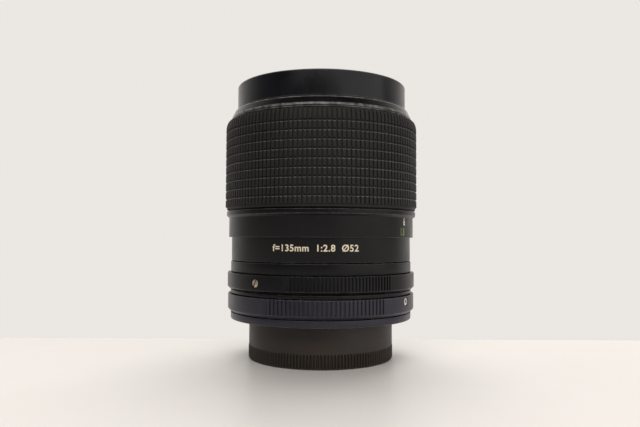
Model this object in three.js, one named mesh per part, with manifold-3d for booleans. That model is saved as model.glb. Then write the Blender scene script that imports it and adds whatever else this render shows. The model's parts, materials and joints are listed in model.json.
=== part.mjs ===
// Prime camera lens, 135 mm f/2.8 class with a 42 mm screw mount, standing on its rear cap.
// Millimetres. +Z is the optical axis and points to the front of the lens; z = 0 is the cap's base.
// Azimuths are degrees from -Y towards +X. The index line of the scales is at azimuth 180 (+Y).
// The lens is at rest: focused at infinity, iris wide open, hood pushed back, rear cap on.

import * as THREE from 'three';
import { mergeVertices } from 'three/addons/utils/BufferGeometryUtils.js';
import Module from 'manifold-3d';

const wasm = await Module();
wasm.setup();

// ---------------------------------------------------------------- driving dimensions

const TURNED_SEGMENTS = 32;
const GLASS_SEGMENTS = 24;
const PIN_SEGMENTS = 8;
const SCREW_SEGMENTS = 12;
const WELD_DISTANCE = 1e-4;

// Clearance between fixed neighbours, and between pieces that slide or turn on each other.
const JOINT_GAP = 0.3;
const SIDE_GAP = 0.2;

const INDEX_AZIMUTH = 180;
const KEY_AZIMUTH = 90;
const STOP_DOWN_PIN_AZIMUTH = 0;

// Rear cap and mount.
const CAP = { radius: 24.6, knurlRadius: 24.7, height: 13.4, knurlTop: 4.7, bore: 21.4, floor: 1.8 };
const SPIGOT = { outer: 21.0, inner: 19.4, bottom: 9.5 };
// The flange seats on the camera outside reliefRadius; inside it, a shallow relief clears the cap's rim.
const FLANGE = { radius: 30.9, bottom: 13.7, top: 15.9, reliefRadius: 24.9, relief: 0.2 };
const HUB = { outer: 27.7, inner: 24.5, bottom: 16.2, top: 22.05 };
const MOUNT_RING = { outer: 31.87, inner: 28.0, bottom: 16.2, top: 22.1, chamfer: 1.0 };
const MOUNT_SCREW = { count: 3, pitchRadius: 26.1, headRadius: 1.6, headTop: 15.1, shank: 0.9, tip: 20.4 };
const MOUNT_RING_SCREW = { azimuth: 59.5, height: 20.4, radius: 1.35, tip: 29.8 };

// Rear light baffle and the plunger that the camera presses to close the iris.
const BAFFLE = { opening: 15.2, tubeOuter: 16.0, rim: 24.1, tubeBottom: 10.8, bottom: 15.7, top: 16.9 };
const PLUNGER = { radius: 1.0, collar: 1.7, pitchRadius: 17.7, bottom: 7.7, top: 20.8 };
const PLUNGER_COLLAR = { bottom: 17.2, top: 18.2 };
const PLUNGER_BRACKET = { inner: 15.9, outer: 24.0, legInner: 22.4, width: 6.0, bottom: 21.1, top: 22.1 };
const PLUNGER_SPRING = { inner: 1.15, outer: 1.6, bottom: 18.4, top: 20.9 };

// Rear housing, aperture ring and the ring with the depth-of-field scale.
const NECK = { radius: 31.0, inner: 24.7, bottom: 22.4, top: 23.4 };
const HOUSING_WALL = { outer: 28.3, inner: 27.0, top: 32.8 };
const APERTURE_RING = { outer: 32.05, inner: 28.6, bottom: 23.65, top: 29.2, chamfer: 0.85 };
const DEPTH_RING = { outer: 30.95, inner: 28.6, bottom: 29.45, top: 32.85 };
const APERTURE_TRAVEL = 42;
const STOP_COUNT = 7;
const APERTURE_SCREW = { azimuth: -39.5, height: 26.6, head: 1.35, shank: 0.75, headSeat: 29.7, tip: 25.0 };
const FORK = { width: 5.2, slot: 2.4, inner: 17.3, palm: 19.9, outer: 28.1, bottom: 25.3, footTop: 27.9, top: 43.0 };
const NOTCH_RADIUS = 0.5;
const DETENT = { ball: 0.8, centreRadius: 27.6, height: 26.6 };
const LEAF_SPRING = { inner: 26.3, outer: 26.6, width: 3.0, bottom: 24.2, top: 31.6, screwHeight: 30.2 };

// Main barrel and focusing parts.
const MAIN_BARREL = { outer: 30.75, inner: 29.4, bottom: 33.15, top: 60.0, webInner: 26.9, webTop: 35.6 };
const BARREL_SHOULDER = { inner: 28.1, bottom: 40.0, top: 42.0 };
const HELICOID = { inner: 26.6, outer: 29.1, neck: 27.8, flange: 30.75, bottom: 37.6, flangeTop: 63.0 };
const RETAINER = { inner: 27.95, outer: 29.1, bottom: 38.2, top: 39.7 };
const FOCUS_TRAVEL = 150;
const FOCUS_STOP = { azimuth: 60, pitchRadius: 28.3, radius: 0.8, top: 37.4 };
const STOP_LUG = { inner: 27.95, outer: 29.0, width: 2.4, bottom: 36.0 };
const SKIRT = { outer: 31.73, inner: 31.05, bottom: 40.9, top: 47.4 };
const LIP = { outer: 32.55, bottom: 48.1, top: 49.5 };
const GRIP_SEAT = { outer: 32.0, bottom: 49.8, top: 80.0, frontInner: 30.0, frontBottom: 77.5 };
const GRIP = { outer: 33.0, inner: 32.2, bottom: 50.1, shoulder: 77.8, top: 79.9, topRadius: 32.45 };
const TRIM = { inner: 29.3, sleeve: 29.85, sleeveBottom: 75.0, bottom: 80.3, outer: 31.2, edgeTop: 81.4, top: 84.0 };
const SET_SCREW = { count: 3, radius: 0.85, inner: 29.6, outer: 31.85, height: 61.65 };
const KEY = { inner: 24.9, outer: 26.2, footOuter: 26.8, width: 4.0, bottom: 23.8, footTop: 32.5, top: 53.0 };
const KEY_SCREW = { height: 28.2, head: 1.4, headInner: 24.1, shank: 0.8, tip: 28.0 };

// Sliding optical barrel with the front filter thread and the hood.
const OPTICS = { outer: 26.3, inner: 24.6, bottom: 34.0, coneBottom: 64.0, coneTop: 65.2 };
const OPTICS_FRONT = { outer: 27.3, inner: 25.3, seat: 79.0, top: 84.0 };
const KEYWAY_TOP = 56.0;
const FILTER_RING = { outer: 27.3, inner: 25.4, thread: 26.0, bottom: 84.2, threadBottom: 86.6, top: 90.3 };
const NAME_RING = { inner: 24.4, body: 25.15, lip: 25.8, bottom: 82.9, lipBottom: 86.8, top: 87.4, bevel: 24.95 };
const FELT = { inner: 27.4, outer: 28.05, bottom: 85.5, top: 88.0 };
const HOOD = { outer: 29.09, tube: 28.85, inner: 28.15, bottom: 66.5, shoulder: 84.3, top: 92.5, bevel: 0.35 };

// Glass, from front to rear: rim radius, rim heights, and the curvature radii of both faces.
// A positive curvature bulges the front face forward and the rear face backward.
const FRONT_GLASS = { radius: 25.0, bottom: 79.3, top: 82.3, front: 76, rear: -200 };
const SECOND_GLASS = { radius: 22.1, bottom: 69.0, top: 72.4, front: 52, rear: -110 };
const THIRD_GLASS = { radius: 19.0, bottom: 58.8, top: 64.2, front: -120, rear: -72 };
const REAR_GLASS = { radius: 14.4, bottom: 35.5, top: 38.0, front: 60, rear: 90 };
const CELL = { outer: 24.4, wide: 22.4, narrow: 19.3, bottom: 57.0, step: 68.5, top: 78.8 };
const CELL_RETAINER = { outer: 22.2, inner: 20.6, bottom: 73.6, top: 75.4 };
const SPACER = { outer: 19.1, inner: 17.6, bottom: 64.5, top: 68.0 };
const INNER_RETAINER = { outer: 19.1, inner: 17.2, bottom: 57.2, top: 58.5 };
const REAR_CELL = { outer: 16.8, inner: 14.6, lip: 12.8, bottom: 33.0, lipTop: 34.2, top: 45.4 };
const REAR_CELL_FLANGE = { outer: 24.3, bottom: 44.2 };
const REAR_RETAINER = { outer: 14.4, inner: 12.9, bottom: 38.9, top: 40.3 };

// Iris: every blade has its own level, a pivot in the housing and a drive pin in a cam slot.
const BLADE_COUNT = 8;
const BLADE_PITCH = 360 / BLADE_COUNT;
const BLADE = { thickness: 0.15, level: 0.25, inner: 12.7, outer: 19.6, start: -8, end: 90, top: 50.9 };
const BLADE_TAB = { outer: 22.2, left: -9.2, leftOuter: 21.6, right: 3.0 };
const PIVOT = { pitchRadius: 21.2, radius: 0.5, bottom: 48.95 };
const DRIVE_PIN = { radius: 0.35, offset: 2.6, angle: -105, bottom: 48.0 };
const BLADE_SWING = 30.35;
const IRIS_HOUSING = { outer: 24.3, inner: 23.5, opening: 19.9, bottom: 46.3, plateBottom: 51.0, top: 52.0 };
const CAM_RING = { outer: 23.2, inner: 13.2, bottom: 47.8, top: 48.8 };
const CAM_SLOT = { halfWidth: 0.47, steps: 8, overrun: 0.8 };
const CAM_ARM = { inner: 17.6, outer: 19.4, width: 2.0, bottom: 25.8 };
const IRIS_RETAINER = { outer: 23.3, inner: 22.6, bottom: 46.6, top: 47.5 };
const ARM_WINDOW = { inner: 17.2, outer: 19.9, margin: 6 };

// ---------------------------------------------------------------- solids

const radians = THREE.MathUtils.degToRad;

// Six times the signed volume of a triangle mesh; negative when its faces look inward.
function signedVolume(positions, triangles) {
  const a = new THREE.Vector3();
  const b = new THREE.Vector3();
  const c = new THREE.Vector3();
  let total = 0;
  for (let i = 0; i < triangles.length; i += 3) {
    a.fromArray(positions, 3 * triangles[i]);
    b.fromArray(positions, 3 * triangles[i + 1]);
    c.fromArray(positions, 3 * triangles[i + 2]);
    total += a.dot(b.cross(c));
  }
  return total;
}

// A closed three.js geometry as a solid that can be cut and joined.
function solidOf(geometry) {
  const bare = geometry.clone();
  bare.deleteAttribute('normal');
  bare.deleteAttribute('uv');
  const welded = mergeVertices(bare, WELD_DISTANCE);
  const positions = Float32Array.from(welded.attributes.position.array);
  const corners = welded.index.array;
  const triangles = [];
  for (let i = 0; i < corners.length; i += 3) {
    const [a, b, c] = [corners[i], corners[i + 1], corners[i + 2]];
    if (a !== b && b !== c && c !== a) triangles.push(a, b, c);
  }
  if (signedVolume(positions, triangles) < 0) triangles.reverse();
  const mesh = new wasm.Mesh({
    numProp: 3,
    vertProperties: positions,
    triVerts: Uint32Array.from(triangles),
  });
  return new wasm.Manifold(mesh);
}

function geometryOf(solid) {
  const mesh = solid.getMesh();
  const geometry = new THREE.BufferGeometry();
  geometry.setAttribute('position', new THREE.BufferAttribute(mesh.vertProperties, 3));
  geometry.setIndex(new THREE.BufferAttribute(mesh.triVerts, 1));
  geometry.computeVertexNormals();
  return geometry;
}

// A turned solid about Z from a closed outline of [radius, height] points.
function turned(outline, segments = TURNED_SEGMENTS) {
  const points = outline.map(([radius, height]) => new THREE.Vector2(radius, height));
  if (outline[0][0] > 0) points.push(points[0].clone());
  return solidOf(new THREE.LatheGeometry(points, segments).rotateX(Math.PI / 2));
}

// A plain ring with a rectangular section.
function ring({ inner, outer, bottom, top }, segments = TURNED_SEGMENTS) {
  return turned([[inner, bottom], [outer, bottom], [outer, top], [inner, top]], segments);
}

// An upright cylinder at a pitch radius on the azimuth-0 side before it is turned into place.
function upright(radius, bottom, top, pitchRadius, azimuth, segments = SCREW_SEGMENTS) {
  const cylinder = new THREE.CylinderGeometry(radius, radius, top - bottom, segments);
  cylinder.rotateX(Math.PI / 2);
  cylinder.translate(pitchRadius, 0, (top + bottom) / 2);
  return solidOf(cylinder).rotate([0, 0, azimuth - 90]);
}

// A cylinder that lies along a radius of the lens.
function radial(radius, inner, outer, height, azimuth, segments = SCREW_SEGMENTS) {
  const cylinder = new THREE.CylinderGeometry(radius, radius, outer - inner, segments);
  cylinder.rotateZ(Math.PI / 2);
  cylinder.translate((inner + outer) / 2, 0, height);
  return solidOf(cylinder).rotate([0, 0, azimuth - 90]);
}

// A block between two radii and two heights, centred on an azimuth.
function block(inner, outer, width, bottom, top, azimuth) {
  const box = new THREE.BoxGeometry(outer - inner, width, top - bottom);
  box.translate((inner + outer) / 2, 0, (top + bottom) / 2);
  return solidOf(box).rotate([0, 0, azimuth - 90]);
}

// A flat sector between two radii, from one azimuth to another, extruded upward.
function sector(inner, outer, from, to, bottom, top) {
  const shape = new THREE.Shape();
  shape.absarc(0, 0, outer, radians(from - 90), radians(to - 90), false);
  shape.absarc(0, 0, inner, radians(to - 90), radians(from - 90), true);
  shape.closePath();
  const extrusion = new THREE.ExtrudeGeometry(shape, {
    depth: top - bottom,
    bevelEnabled: false,
    curveSegments: 8,
  });
  extrusion.translate(0, 0, bottom);
  return solidOf(extrusion);
}

// ---------------------------------------------------------------- materials

function finish(color, roughness, metalness) {
  return () => new THREE.MeshStandardMaterial({ color, roughness, metalness });
}

const satinBlack = finish(0x17181b, 0.42, 0.6);
const blueBlack = finish(0x181c2b, 0.38, 0.7);
const innerBlack = finish(0x0c0c0d, 0.85, 0.1);
const capPlastic = finish(0x25221f, 0.55, 0.0);
const gripRubber = finish(0x141414, 0.85, 0.0);
const nickel = finish(0xa8a49a, 0.3, 1.0);
const bronze = finish(0x8d8068, 0.38, 1.0);
const brass = finish(0xa88a4e, 0.38, 1.0);
const steel = finish(0x8b8c8f, 0.35, 1.0);
const bladeSteel = finish(0x2a2b2e, 0.45, 0.9);
const felt = finish(0x101010, 0.98, 0.0);

function glass() {
  const material = new THREE.MeshStandardMaterial({ color: 0xbfd0dc, roughness: 0.03, metalness: 0 });
  material.transparent = true;
  material.opacity = 0.35;
  return material;
}

function piece(name, solid, material) {
  const mesh = new THREE.Mesh(geometryOf(solid), material());
  mesh.name = name;
  return mesh;
}

// ---------------------------------------------------------------- rear cap and mount

function rearCap() {
  const edge = 0.5;
  return piece('rear_cap', turned([
    [0, 0],
    [CAP.knurlRadius - edge, 0],
    [CAP.knurlRadius, edge],
    [CAP.knurlRadius, CAP.knurlTop],
    [CAP.radius, CAP.knurlTop + 0.1],
    [CAP.radius, CAP.height],
    [CAP.bore, CAP.height],
    [CAP.bore, CAP.floor],
    [0, CAP.floor],
  ]), capPlastic);
}

function mountScrewAzimuth(index) {
  return INDEX_AZIMUTH + index * 360 / MOUNT_SCREW.count;
}

function mountScrewSolid(azimuth, margin) {
  const head = upright(MOUNT_SCREW.headRadius + margin, FLANGE.bottom + 0.2 - 2 * margin,
    MOUNT_SCREW.headTop + margin, MOUNT_SCREW.pitchRadius, azimuth);
  const shank = upright(MOUNT_SCREW.shank + margin, MOUNT_SCREW.headTop - 0.5,
    MOUNT_SCREW.tip + margin, MOUNT_SCREW.pitchRadius, azimuth);
  return head.add(shank);
}

function mountPieces() {
  let flange = turned([
    [SPIGOT.inner, SPIGOT.bottom],
    [SPIGOT.outer, SPIGOT.bottom],
    [SPIGOT.outer, FLANGE.bottom + FLANGE.relief],
    [FLANGE.reliefRadius, FLANGE.bottom + FLANGE.relief],
    [FLANGE.reliefRadius, FLANGE.bottom],
    [FLANGE.radius, FLANGE.bottom],
    [FLANGE.radius, FLANGE.top],
    [HUB.inner, FLANGE.top],
    [HUB.inner, BAFFLE.bottom - JOINT_GAP],
    [SPIGOT.inner, BAFFLE.bottom - JOINT_GAP],
  ]);
  let hub = ring(HUB);
  const pieces = [];
  for (let i = 0; i < MOUNT_SCREW.count; i += 1) {
    const azimuth = mountScrewAzimuth(i);
    const hole = mountScrewSolid(azimuth, 0.15);
    flange = flange.subtract(hole);
    hub = hub.subtract(hole);
    pieces.push(piece(`mount_screw_${i + 1}`, mountScrewSolid(azimuth, 0), steel));
  }
  pieces.push(piece('mount_flange', flange, blueBlack));
  pieces.push(piece('mount_hub', hub, innerBlack));
  return pieces;
}

function mountRing() {
  const body = turned([
    [MOUNT_RING.inner, MOUNT_RING.bottom],
    [MOUNT_RING.outer - MOUNT_RING.chamfer, MOUNT_RING.bottom],
    [MOUNT_RING.outer, MOUNT_RING.bottom + MOUNT_RING.chamfer],
    [MOUNT_RING.outer, MOUNT_RING.top],
    [MOUNT_RING.inner, MOUNT_RING.top],
  ]);
  const { azimuth, height, radius, tip } = MOUNT_RING_SCREW;
  const pocket = radial(radius + 0.15, tip - SIDE_GAP, MOUNT_RING.outer + 1, height, azimuth);
  const screw = radial(radius, tip, MOUNT_RING.outer - 0.1, height, azimuth);
  return [
    piece('mount_ring', body.subtract(pocket), blueBlack),
    piece('mount_ring_screw', screw, nickel),
  ];
}

// ---------------------------------------------------------------- baffle and plunger

function plungerPieces() {
  const at = PLUNGER.pitchRadius;
  const azimuth = STOP_DOWN_PIN_AZIMUTH;
  const hole = upright(PLUNGER.radius + SIDE_GAP, 0, PLUNGER_BRACKET.top + 1, at, azimuth);

  const baffle = turned([
    [BAFFLE.opening, BAFFLE.tubeBottom],
    [BAFFLE.tubeOuter, BAFFLE.tubeBottom],
    [BAFFLE.tubeOuter, BAFFLE.bottom],
    [BAFFLE.rim, BAFFLE.bottom],
    [BAFFLE.rim, BAFFLE.top],
    [BAFFLE.opening, BAFFLE.top],
  ]).subtract(hole);

  const { inner, outer, legInner, width, bottom, top } = PLUNGER_BRACKET;
  const arm = block(inner, outer, width, bottom, top, azimuth);
  const leg = block(legInner, outer, width, BAFFLE.top + JOINT_GAP, bottom + 0.1, azimuth);
  const bracket = arm.add(leg).subtract(hole);

  const spring = ring(PLUNGER_SPRING, SCREW_SEGMENTS).translate([at, 0, 0]).rotate([0, 0, azimuth - 90]);
  return [
    piece('rear_baffle', baffle, innerBlack),
    piece('plunger_bracket', bracket, brass),
    piece('plunger_spring', spring, steel),
  ];
}

function stopDownPin() {
  const azimuth = STOP_DOWN_PIN_AZIMUTH;
  const shaft = upright(PLUNGER.radius, PLUNGER.bottom, PLUNGER.top, PLUNGER.pitchRadius, azimuth);
  const collar = upright(PLUNGER.collar, PLUNGER_COLLAR.bottom, PLUNGER_COLLAR.top,
    PLUNGER.pitchRadius, azimuth);
  return piece('stop_down_pin', shaft.add(collar), nickel);
}

// ---------------------------------------------------------------- rear housing and its small parts

function rearHousing() {
  const body = turned([
    [NECK.inner, NECK.bottom],
    [NECK.radius, NECK.bottom],
    [NECK.radius, NECK.top],
    [HOUSING_WALL.outer, NECK.top],
    [HOUSING_WALL.outer, HOUSING_WALL.top],
    [HOUSING_WALL.inner, HOUSING_WALL.top],
    [HOUSING_WALL.inner, NECK.top],
    [NECK.inner, NECK.top],
  ]);
  const forkHalfAngle = THREE.MathUtils.radToDeg(FORK.width / 2 / HOUSING_WALL.inner);
  const margin = forkHalfAngle + 0.6;
  const window = sector(HOUSING_WALL.inner - 1, HOUSING_WALL.outer + 0.5,
    APERTURE_SCREW.azimuth - margin, APERTURE_SCREW.azimuth + APERTURE_TRAVEL + margin,
    FORK.bottom - JOINT_GAP, FORK.footTop + JOINT_GAP);
  const ballHole = radial(DETENT.ball + 0.1, HOUSING_WALL.inner - 1, HOUSING_WALL.outer + 1,
    DETENT.height, INDEX_AZIMUTH);
  const keyHole = radial(KEY_SCREW.shank + 0.1, HOUSING_WALL.inner - 1, HOUSING_WALL.outer + 1,
    KEY_SCREW.height, KEY_AZIMUTH);
  const leafHole = radial(0.7, HOUSING_WALL.inner - 1, HOUSING_WALL.outer + 1,
    LEAF_SPRING.screwHeight, INDEX_AZIMUTH);
  return piece('rear_housing',
    body.subtract(window).subtract(ballHole).subtract(keyHole).subtract(leafHole), satinBlack);
}

function detentPieces() {
  const ball = new THREE.IcosahedronGeometry(DETENT.ball, 1);
  const centre = new THREE.Vector3(DETENT.centreRadius, 0, DETENT.height);
  ball.translate(centre.x, centre.y, centre.z);
  const { inner, outer, width, bottom, top, screwHeight } = LEAF_SPRING;
  const hole = radial(0.7, inner - 1, outer + 1, screwHeight, INDEX_AZIMUTH);
  const leaf = block(inner, outer, width, bottom, top, INDEX_AZIMUTH).subtract(hole);
  const screwHead = radial(1.1, inner - 0.8, inner - 0.15, screwHeight, INDEX_AZIMUTH);
  const screwShank = radial(0.55, inner - 0.5, HOUSING_WALL.outer - 0.3, screwHeight, INDEX_AZIMUTH);
  return [
    piece('detent_ball', solidOf(ball).rotate([0, 0, INDEX_AZIMUTH - 90]), steel),
    piece('detent_leaf_spring', leaf, brass),
    piece('detent_spring_screw', screwHead.add(screwShank), steel),
  ];
}

function guideKeyPieces() {
  const { inner, outer, footOuter, width, bottom, footTop, top } = KEY;
  const bar = block(inner, outer, width, bottom, top, KEY_AZIMUTH);
  const foot = block(inner, footOuter, width, bottom, footTop, KEY_AZIMUTH);
  const hole = radial(KEY_SCREW.shank + 0.1, inner - 1, footOuter + 1, KEY_SCREW.height, KEY_AZIMUTH);
  const head = radial(KEY_SCREW.head, KEY_SCREW.headInner, inner - 0.1, KEY_SCREW.height, KEY_AZIMUTH);
  const shank = radial(KEY_SCREW.shank, KEY_SCREW.headInner + 0.3, KEY_SCREW.tip,
    KEY_SCREW.height, KEY_AZIMUTH);
  return [
    piece('guide_key', bar.add(foot).subtract(hole), brass),
    piece('guide_key_screw', head.add(shank), steel),
  ];
}

function depthScaleRing() {
  return piece('depth_scale_ring', ring(DEPTH_RING), satinBlack);
}

// ---------------------------------------------------------------- aperture ring

function apertureRingPieces() {
  let body = turned([
    [APERTURE_RING.inner, APERTURE_RING.bottom],
    [APERTURE_RING.outer - APERTURE_RING.chamfer, APERTURE_RING.bottom],
    [APERTURE_RING.outer, APERTURE_RING.bottom + APERTURE_RING.chamfer],
    [APERTURE_RING.outer, APERTURE_RING.top - 0.2],
    [APERTURE_RING.outer - 0.2, APERTURE_RING.top],
    [APERTURE_RING.inner, APERTURE_RING.top],
  ]);
  const { azimuth, height, head, shank, headSeat, tip } = APERTURE_SCREW;
  const headHole = radial(head + 0.15, headSeat - 0.15, APERTURE_RING.outer + 1, height, azimuth);
  const shankHole = radial(shank + 0.12, tip - 1, APERTURE_RING.outer, height, azimuth);
  body = body.subtract(headHole).subtract(shankHole);

  // One click notch for each stop, spaced so that the ball faces the first one at rest.
  for (let stop = 0; stop < STOP_COUNT; stop += 1) {
    const notchAzimuth = INDEX_AZIMUTH - stop * APERTURE_TRAVEL / (STOP_COUNT - 1);
    body = body.subtract(upright(NOTCH_RADIUS, APERTURE_RING.bottom - 1, APERTURE_RING.top - 1,
      APERTURE_RING.inner, notchAzimuth, PIN_SEGMENTS));
  }

  const palm = block(FORK.palm, FORK.outer, FORK.width, FORK.bottom, FORK.footTop, azimuth);
  const prongs = block(FORK.inner, FORK.palm + 0.1, FORK.width, FORK.bottom, FORK.top, azimuth);
  const gap = block(FORK.inner - 1, FORK.palm, FORK.slot, FORK.bottom - 1, FORK.top + 1, azimuth);
  const fork = palm.add(prongs.subtract(gap)).subtract(shankHole);
  const screw = radial(head, headSeat, APERTURE_RING.outer - 0.1, height, azimuth)
    .add(radial(shank, tip, headSeat + 0.1, height, azimuth));
  return [
    piece('aperture_ring', body, satinBlack),
    piece('aperture_fork', fork, brass),
    piece('aperture_ring_screw', screw, bronze),
  ];
}

// ---------------------------------------------------------------- main barrel and focusing parts

function mainBarrelPieces() {
  const barrel = turned([
    [MAIN_BARREL.webInner, MAIN_BARREL.bottom],
    [MAIN_BARREL.outer, MAIN_BARREL.bottom],
    [MAIN_BARREL.outer, MAIN_BARREL.top],
    [MAIN_BARREL.inner, MAIN_BARREL.top],
    [MAIN_BARREL.inner, BARREL_SHOULDER.top],
    [BARREL_SHOULDER.inner, BARREL_SHOULDER.top],
    [BARREL_SHOULDER.inner, BARREL_SHOULDER.bottom],
    [MAIN_BARREL.inner, BARREL_SHOULDER.bottom],
    [MAIN_BARREL.inner, MAIN_BARREL.webTop],
    [MAIN_BARREL.webInner, MAIN_BARREL.webTop],
  ]);
  const pieces = [piece('main_barrel', barrel, satinBlack)];
  const reach = THREE.MathUtils.radToDeg(
    (STOP_LUG.width / 2 + FOCUS_STOP.radius + SIDE_GAP) / FOCUS_STOP.pitchRadius);
  const azimuths = [FOCUS_STOP.azimuth - reach, FOCUS_STOP.azimuth + FOCUS_TRAVEL + reach];
  azimuths.forEach((azimuth, i) => {
    const stud = upright(FOCUS_STOP.radius, MAIN_BARREL.webTop + 0.1, FOCUS_STOP.top,
      FOCUS_STOP.pitchRadius, azimuth);
    pieces.push(piece(`focus_stop_stud_${i + 1}`, stud, steel));
  });
  return pieces;
}

function focusRing() {
  return turned([
    [SKIRT.inner, SKIRT.bottom],
    [SKIRT.outer, SKIRT.bottom],
    [SKIRT.outer, SKIRT.top],
    [LIP.outer, LIP.bottom],
    [LIP.outer, LIP.top],
    [GRIP_SEAT.outer, GRIP_SEAT.bottom],
    [GRIP_SEAT.outer, GRIP_SEAT.top],
    [GRIP_SEAT.frontInner, GRIP_SEAT.top],
    [GRIP_SEAT.frontInner, GRIP_SEAT.frontBottom],
    [SKIRT.inner, GRIP_SEAT.frontBottom],
  ]);
}

function focusHelicoid() {
  const shoulder = BARREL_SHOULDER.top + JOINT_GAP;
  const flangeBottom = MAIN_BARREL.top + JOINT_GAP;
  return turned([
    [HELICOID.inner, HELICOID.bottom],
    [HELICOID.neck, HELICOID.bottom],
    [HELICOID.neck, shoulder],
    [HELICOID.outer, shoulder],
    [HELICOID.outer, flangeBottom],
    [HELICOID.flange, flangeBottom],
    [HELICOID.flange, HELICOID.flangeTop],
    [HELICOID.inner, HELICOID.flangeTop],
  ]);
}

function focusPieces() {
  let shell = focusRing();
  let helicoid = focusHelicoid();
  const pieces = [];
  for (let i = 0; i < SET_SCREW.count; i += 1) {
    const azimuth = 30 + i * 360 / SET_SCREW.count;
    const { radius, inner, outer, height } = SET_SCREW;
    const hole = radial(radius + 0.1, inner - SIDE_GAP, outer + 1, height, azimuth);
    shell = shell.subtract(hole);
    helicoid = helicoid.subtract(hole);
    pieces.push(piece(`focus_set_screw_${i + 1}`, radial(radius, inner, outer, height, azimuth), steel));
  }
  const grip = turned([
    [GRIP.inner, GRIP.bottom],
    [GRIP.outer, GRIP.bottom],
    [GRIP.outer, GRIP.shoulder],
    [GRIP.topRadius, GRIP.top],
    [GRIP.inner, GRIP.top],
  ]);
  const trim = turned([
    [TRIM.inner, TRIM.sleeveBottom],
    [TRIM.sleeve, TRIM.sleeveBottom],
    [TRIM.sleeve, TRIM.bottom],
    [TRIM.outer, TRIM.bottom],
    [TRIM.outer, TRIM.edgeTop],
    [TRIM.sleeve, TRIM.top],
    [TRIM.inner, TRIM.top],
  ]);
  const lug = block(STOP_LUG.inner + 0.1, STOP_LUG.outer, STOP_LUG.width, STOP_LUG.bottom,
    RETAINER.bottom + 0.5, FOCUS_STOP.azimuth);
  pieces.push(piece('focus_ring', shell, satinBlack));
  pieces.push(piece('focus_helicoid', helicoid, brass));
  pieces.push(piece('rubber_grip', grip, gripRubber));
  pieces.push(piece('grip_trim_ring', trim, satinBlack));
  pieces.push(piece('focus_retaining_ring', ring(RETAINER).add(lug), brass));
  return pieces;
}

// ---------------------------------------------------------------- optical barrel, filter ring, hood

function opticsBarrel() {
  const body = turned([
    [OPTICS.inner, OPTICS.bottom],
    [OPTICS.outer, OPTICS.bottom],
    [OPTICS.outer, OPTICS.coneBottom],
    [OPTICS_FRONT.outer, OPTICS.coneTop],
    [OPTICS_FRONT.outer, OPTICS_FRONT.top],
    [OPTICS_FRONT.inner, OPTICS_FRONT.top],
    [OPTICS_FRONT.inner, OPTICS_FRONT.seat],
    [OPTICS.inner, OPTICS_FRONT.seat],
  ]);
  const keyway = block(OPTICS.inner - 1, OPTICS.outer + 1, KEY.width + 2 * SIDE_GAP,
    OPTICS.bottom - 1, KEYWAY_TOP, KEY_AZIMUTH);
  return piece('optics_barrel', body.subtract(keyway), innerBlack);
}

function frontRings() {
  const filterRing = turned([
    [FILTER_RING.inner, FILTER_RING.bottom],
    [FILTER_RING.outer, FILTER_RING.bottom],
    [FILTER_RING.outer, FILTER_RING.top],
    [FILTER_RING.thread, FILTER_RING.top],
    [FILTER_RING.thread, FILTER_RING.threadBottom],
    [FILTER_RING.inner, FILTER_RING.threadBottom],
  ]);
  const nameRing = turned([
    [NAME_RING.inner, NAME_RING.bottom],
    [NAME_RING.body, NAME_RING.bottom],
    [NAME_RING.body, NAME_RING.lipBottom],
    [NAME_RING.lip, NAME_RING.lipBottom],
    [NAME_RING.lip, NAME_RING.top],
    [NAME_RING.bevel, NAME_RING.top],
  ]);
  return [
    piece('filter_ring', filterRing, satinBlack),
    piece('name_ring', nameRing, satinBlack),
    piece('hood_felt_ring', ring(FELT), felt),
  ];
}

function hood() {
  return piece('sliding_hood', turned([
    [HOOD.inner, HOOD.bottom],
    [HOOD.tube, HOOD.bottom],
    [HOOD.tube, HOOD.shoulder],
    [HOOD.outer, HOOD.shoulder],
    [HOOD.outer, HOOD.top - HOOD.bevel],
    [HOOD.outer - HOOD.bevel, HOOD.top],
    [HOOD.inner, HOOD.top],
  ]), satinBlack);
}

// ---------------------------------------------------------------- glass and its cells

// How far a spherical face stands out from its rim plane, at a distance from the axis.
function bulge(curvature, rimRadius, distance) {
  const size = Math.abs(curvature);
  const rise = Math.sqrt(size * size - distance * distance) - Math.sqrt(size * size - rimRadius * rimRadius);
  return Math.sign(curvature) * rise;
}

function lensElement(name, { radius, bottom, top, front, rear }) {
  const steps = 3;
  const outline = [];
  for (let i = 0; i <= steps; i += 1) {
    const distance = radius * i / steps;
    outline.push([distance, bottom - bulge(rear, radius, distance)]);
  }
  for (let i = steps; i >= 0; i -= 1) {
    const distance = radius * i / steps;
    outline.push([distance, top + bulge(front, radius, distance)]);
  }
  return piece(name, turned(outline, GLASS_SEGMENTS), glass);
}

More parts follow.
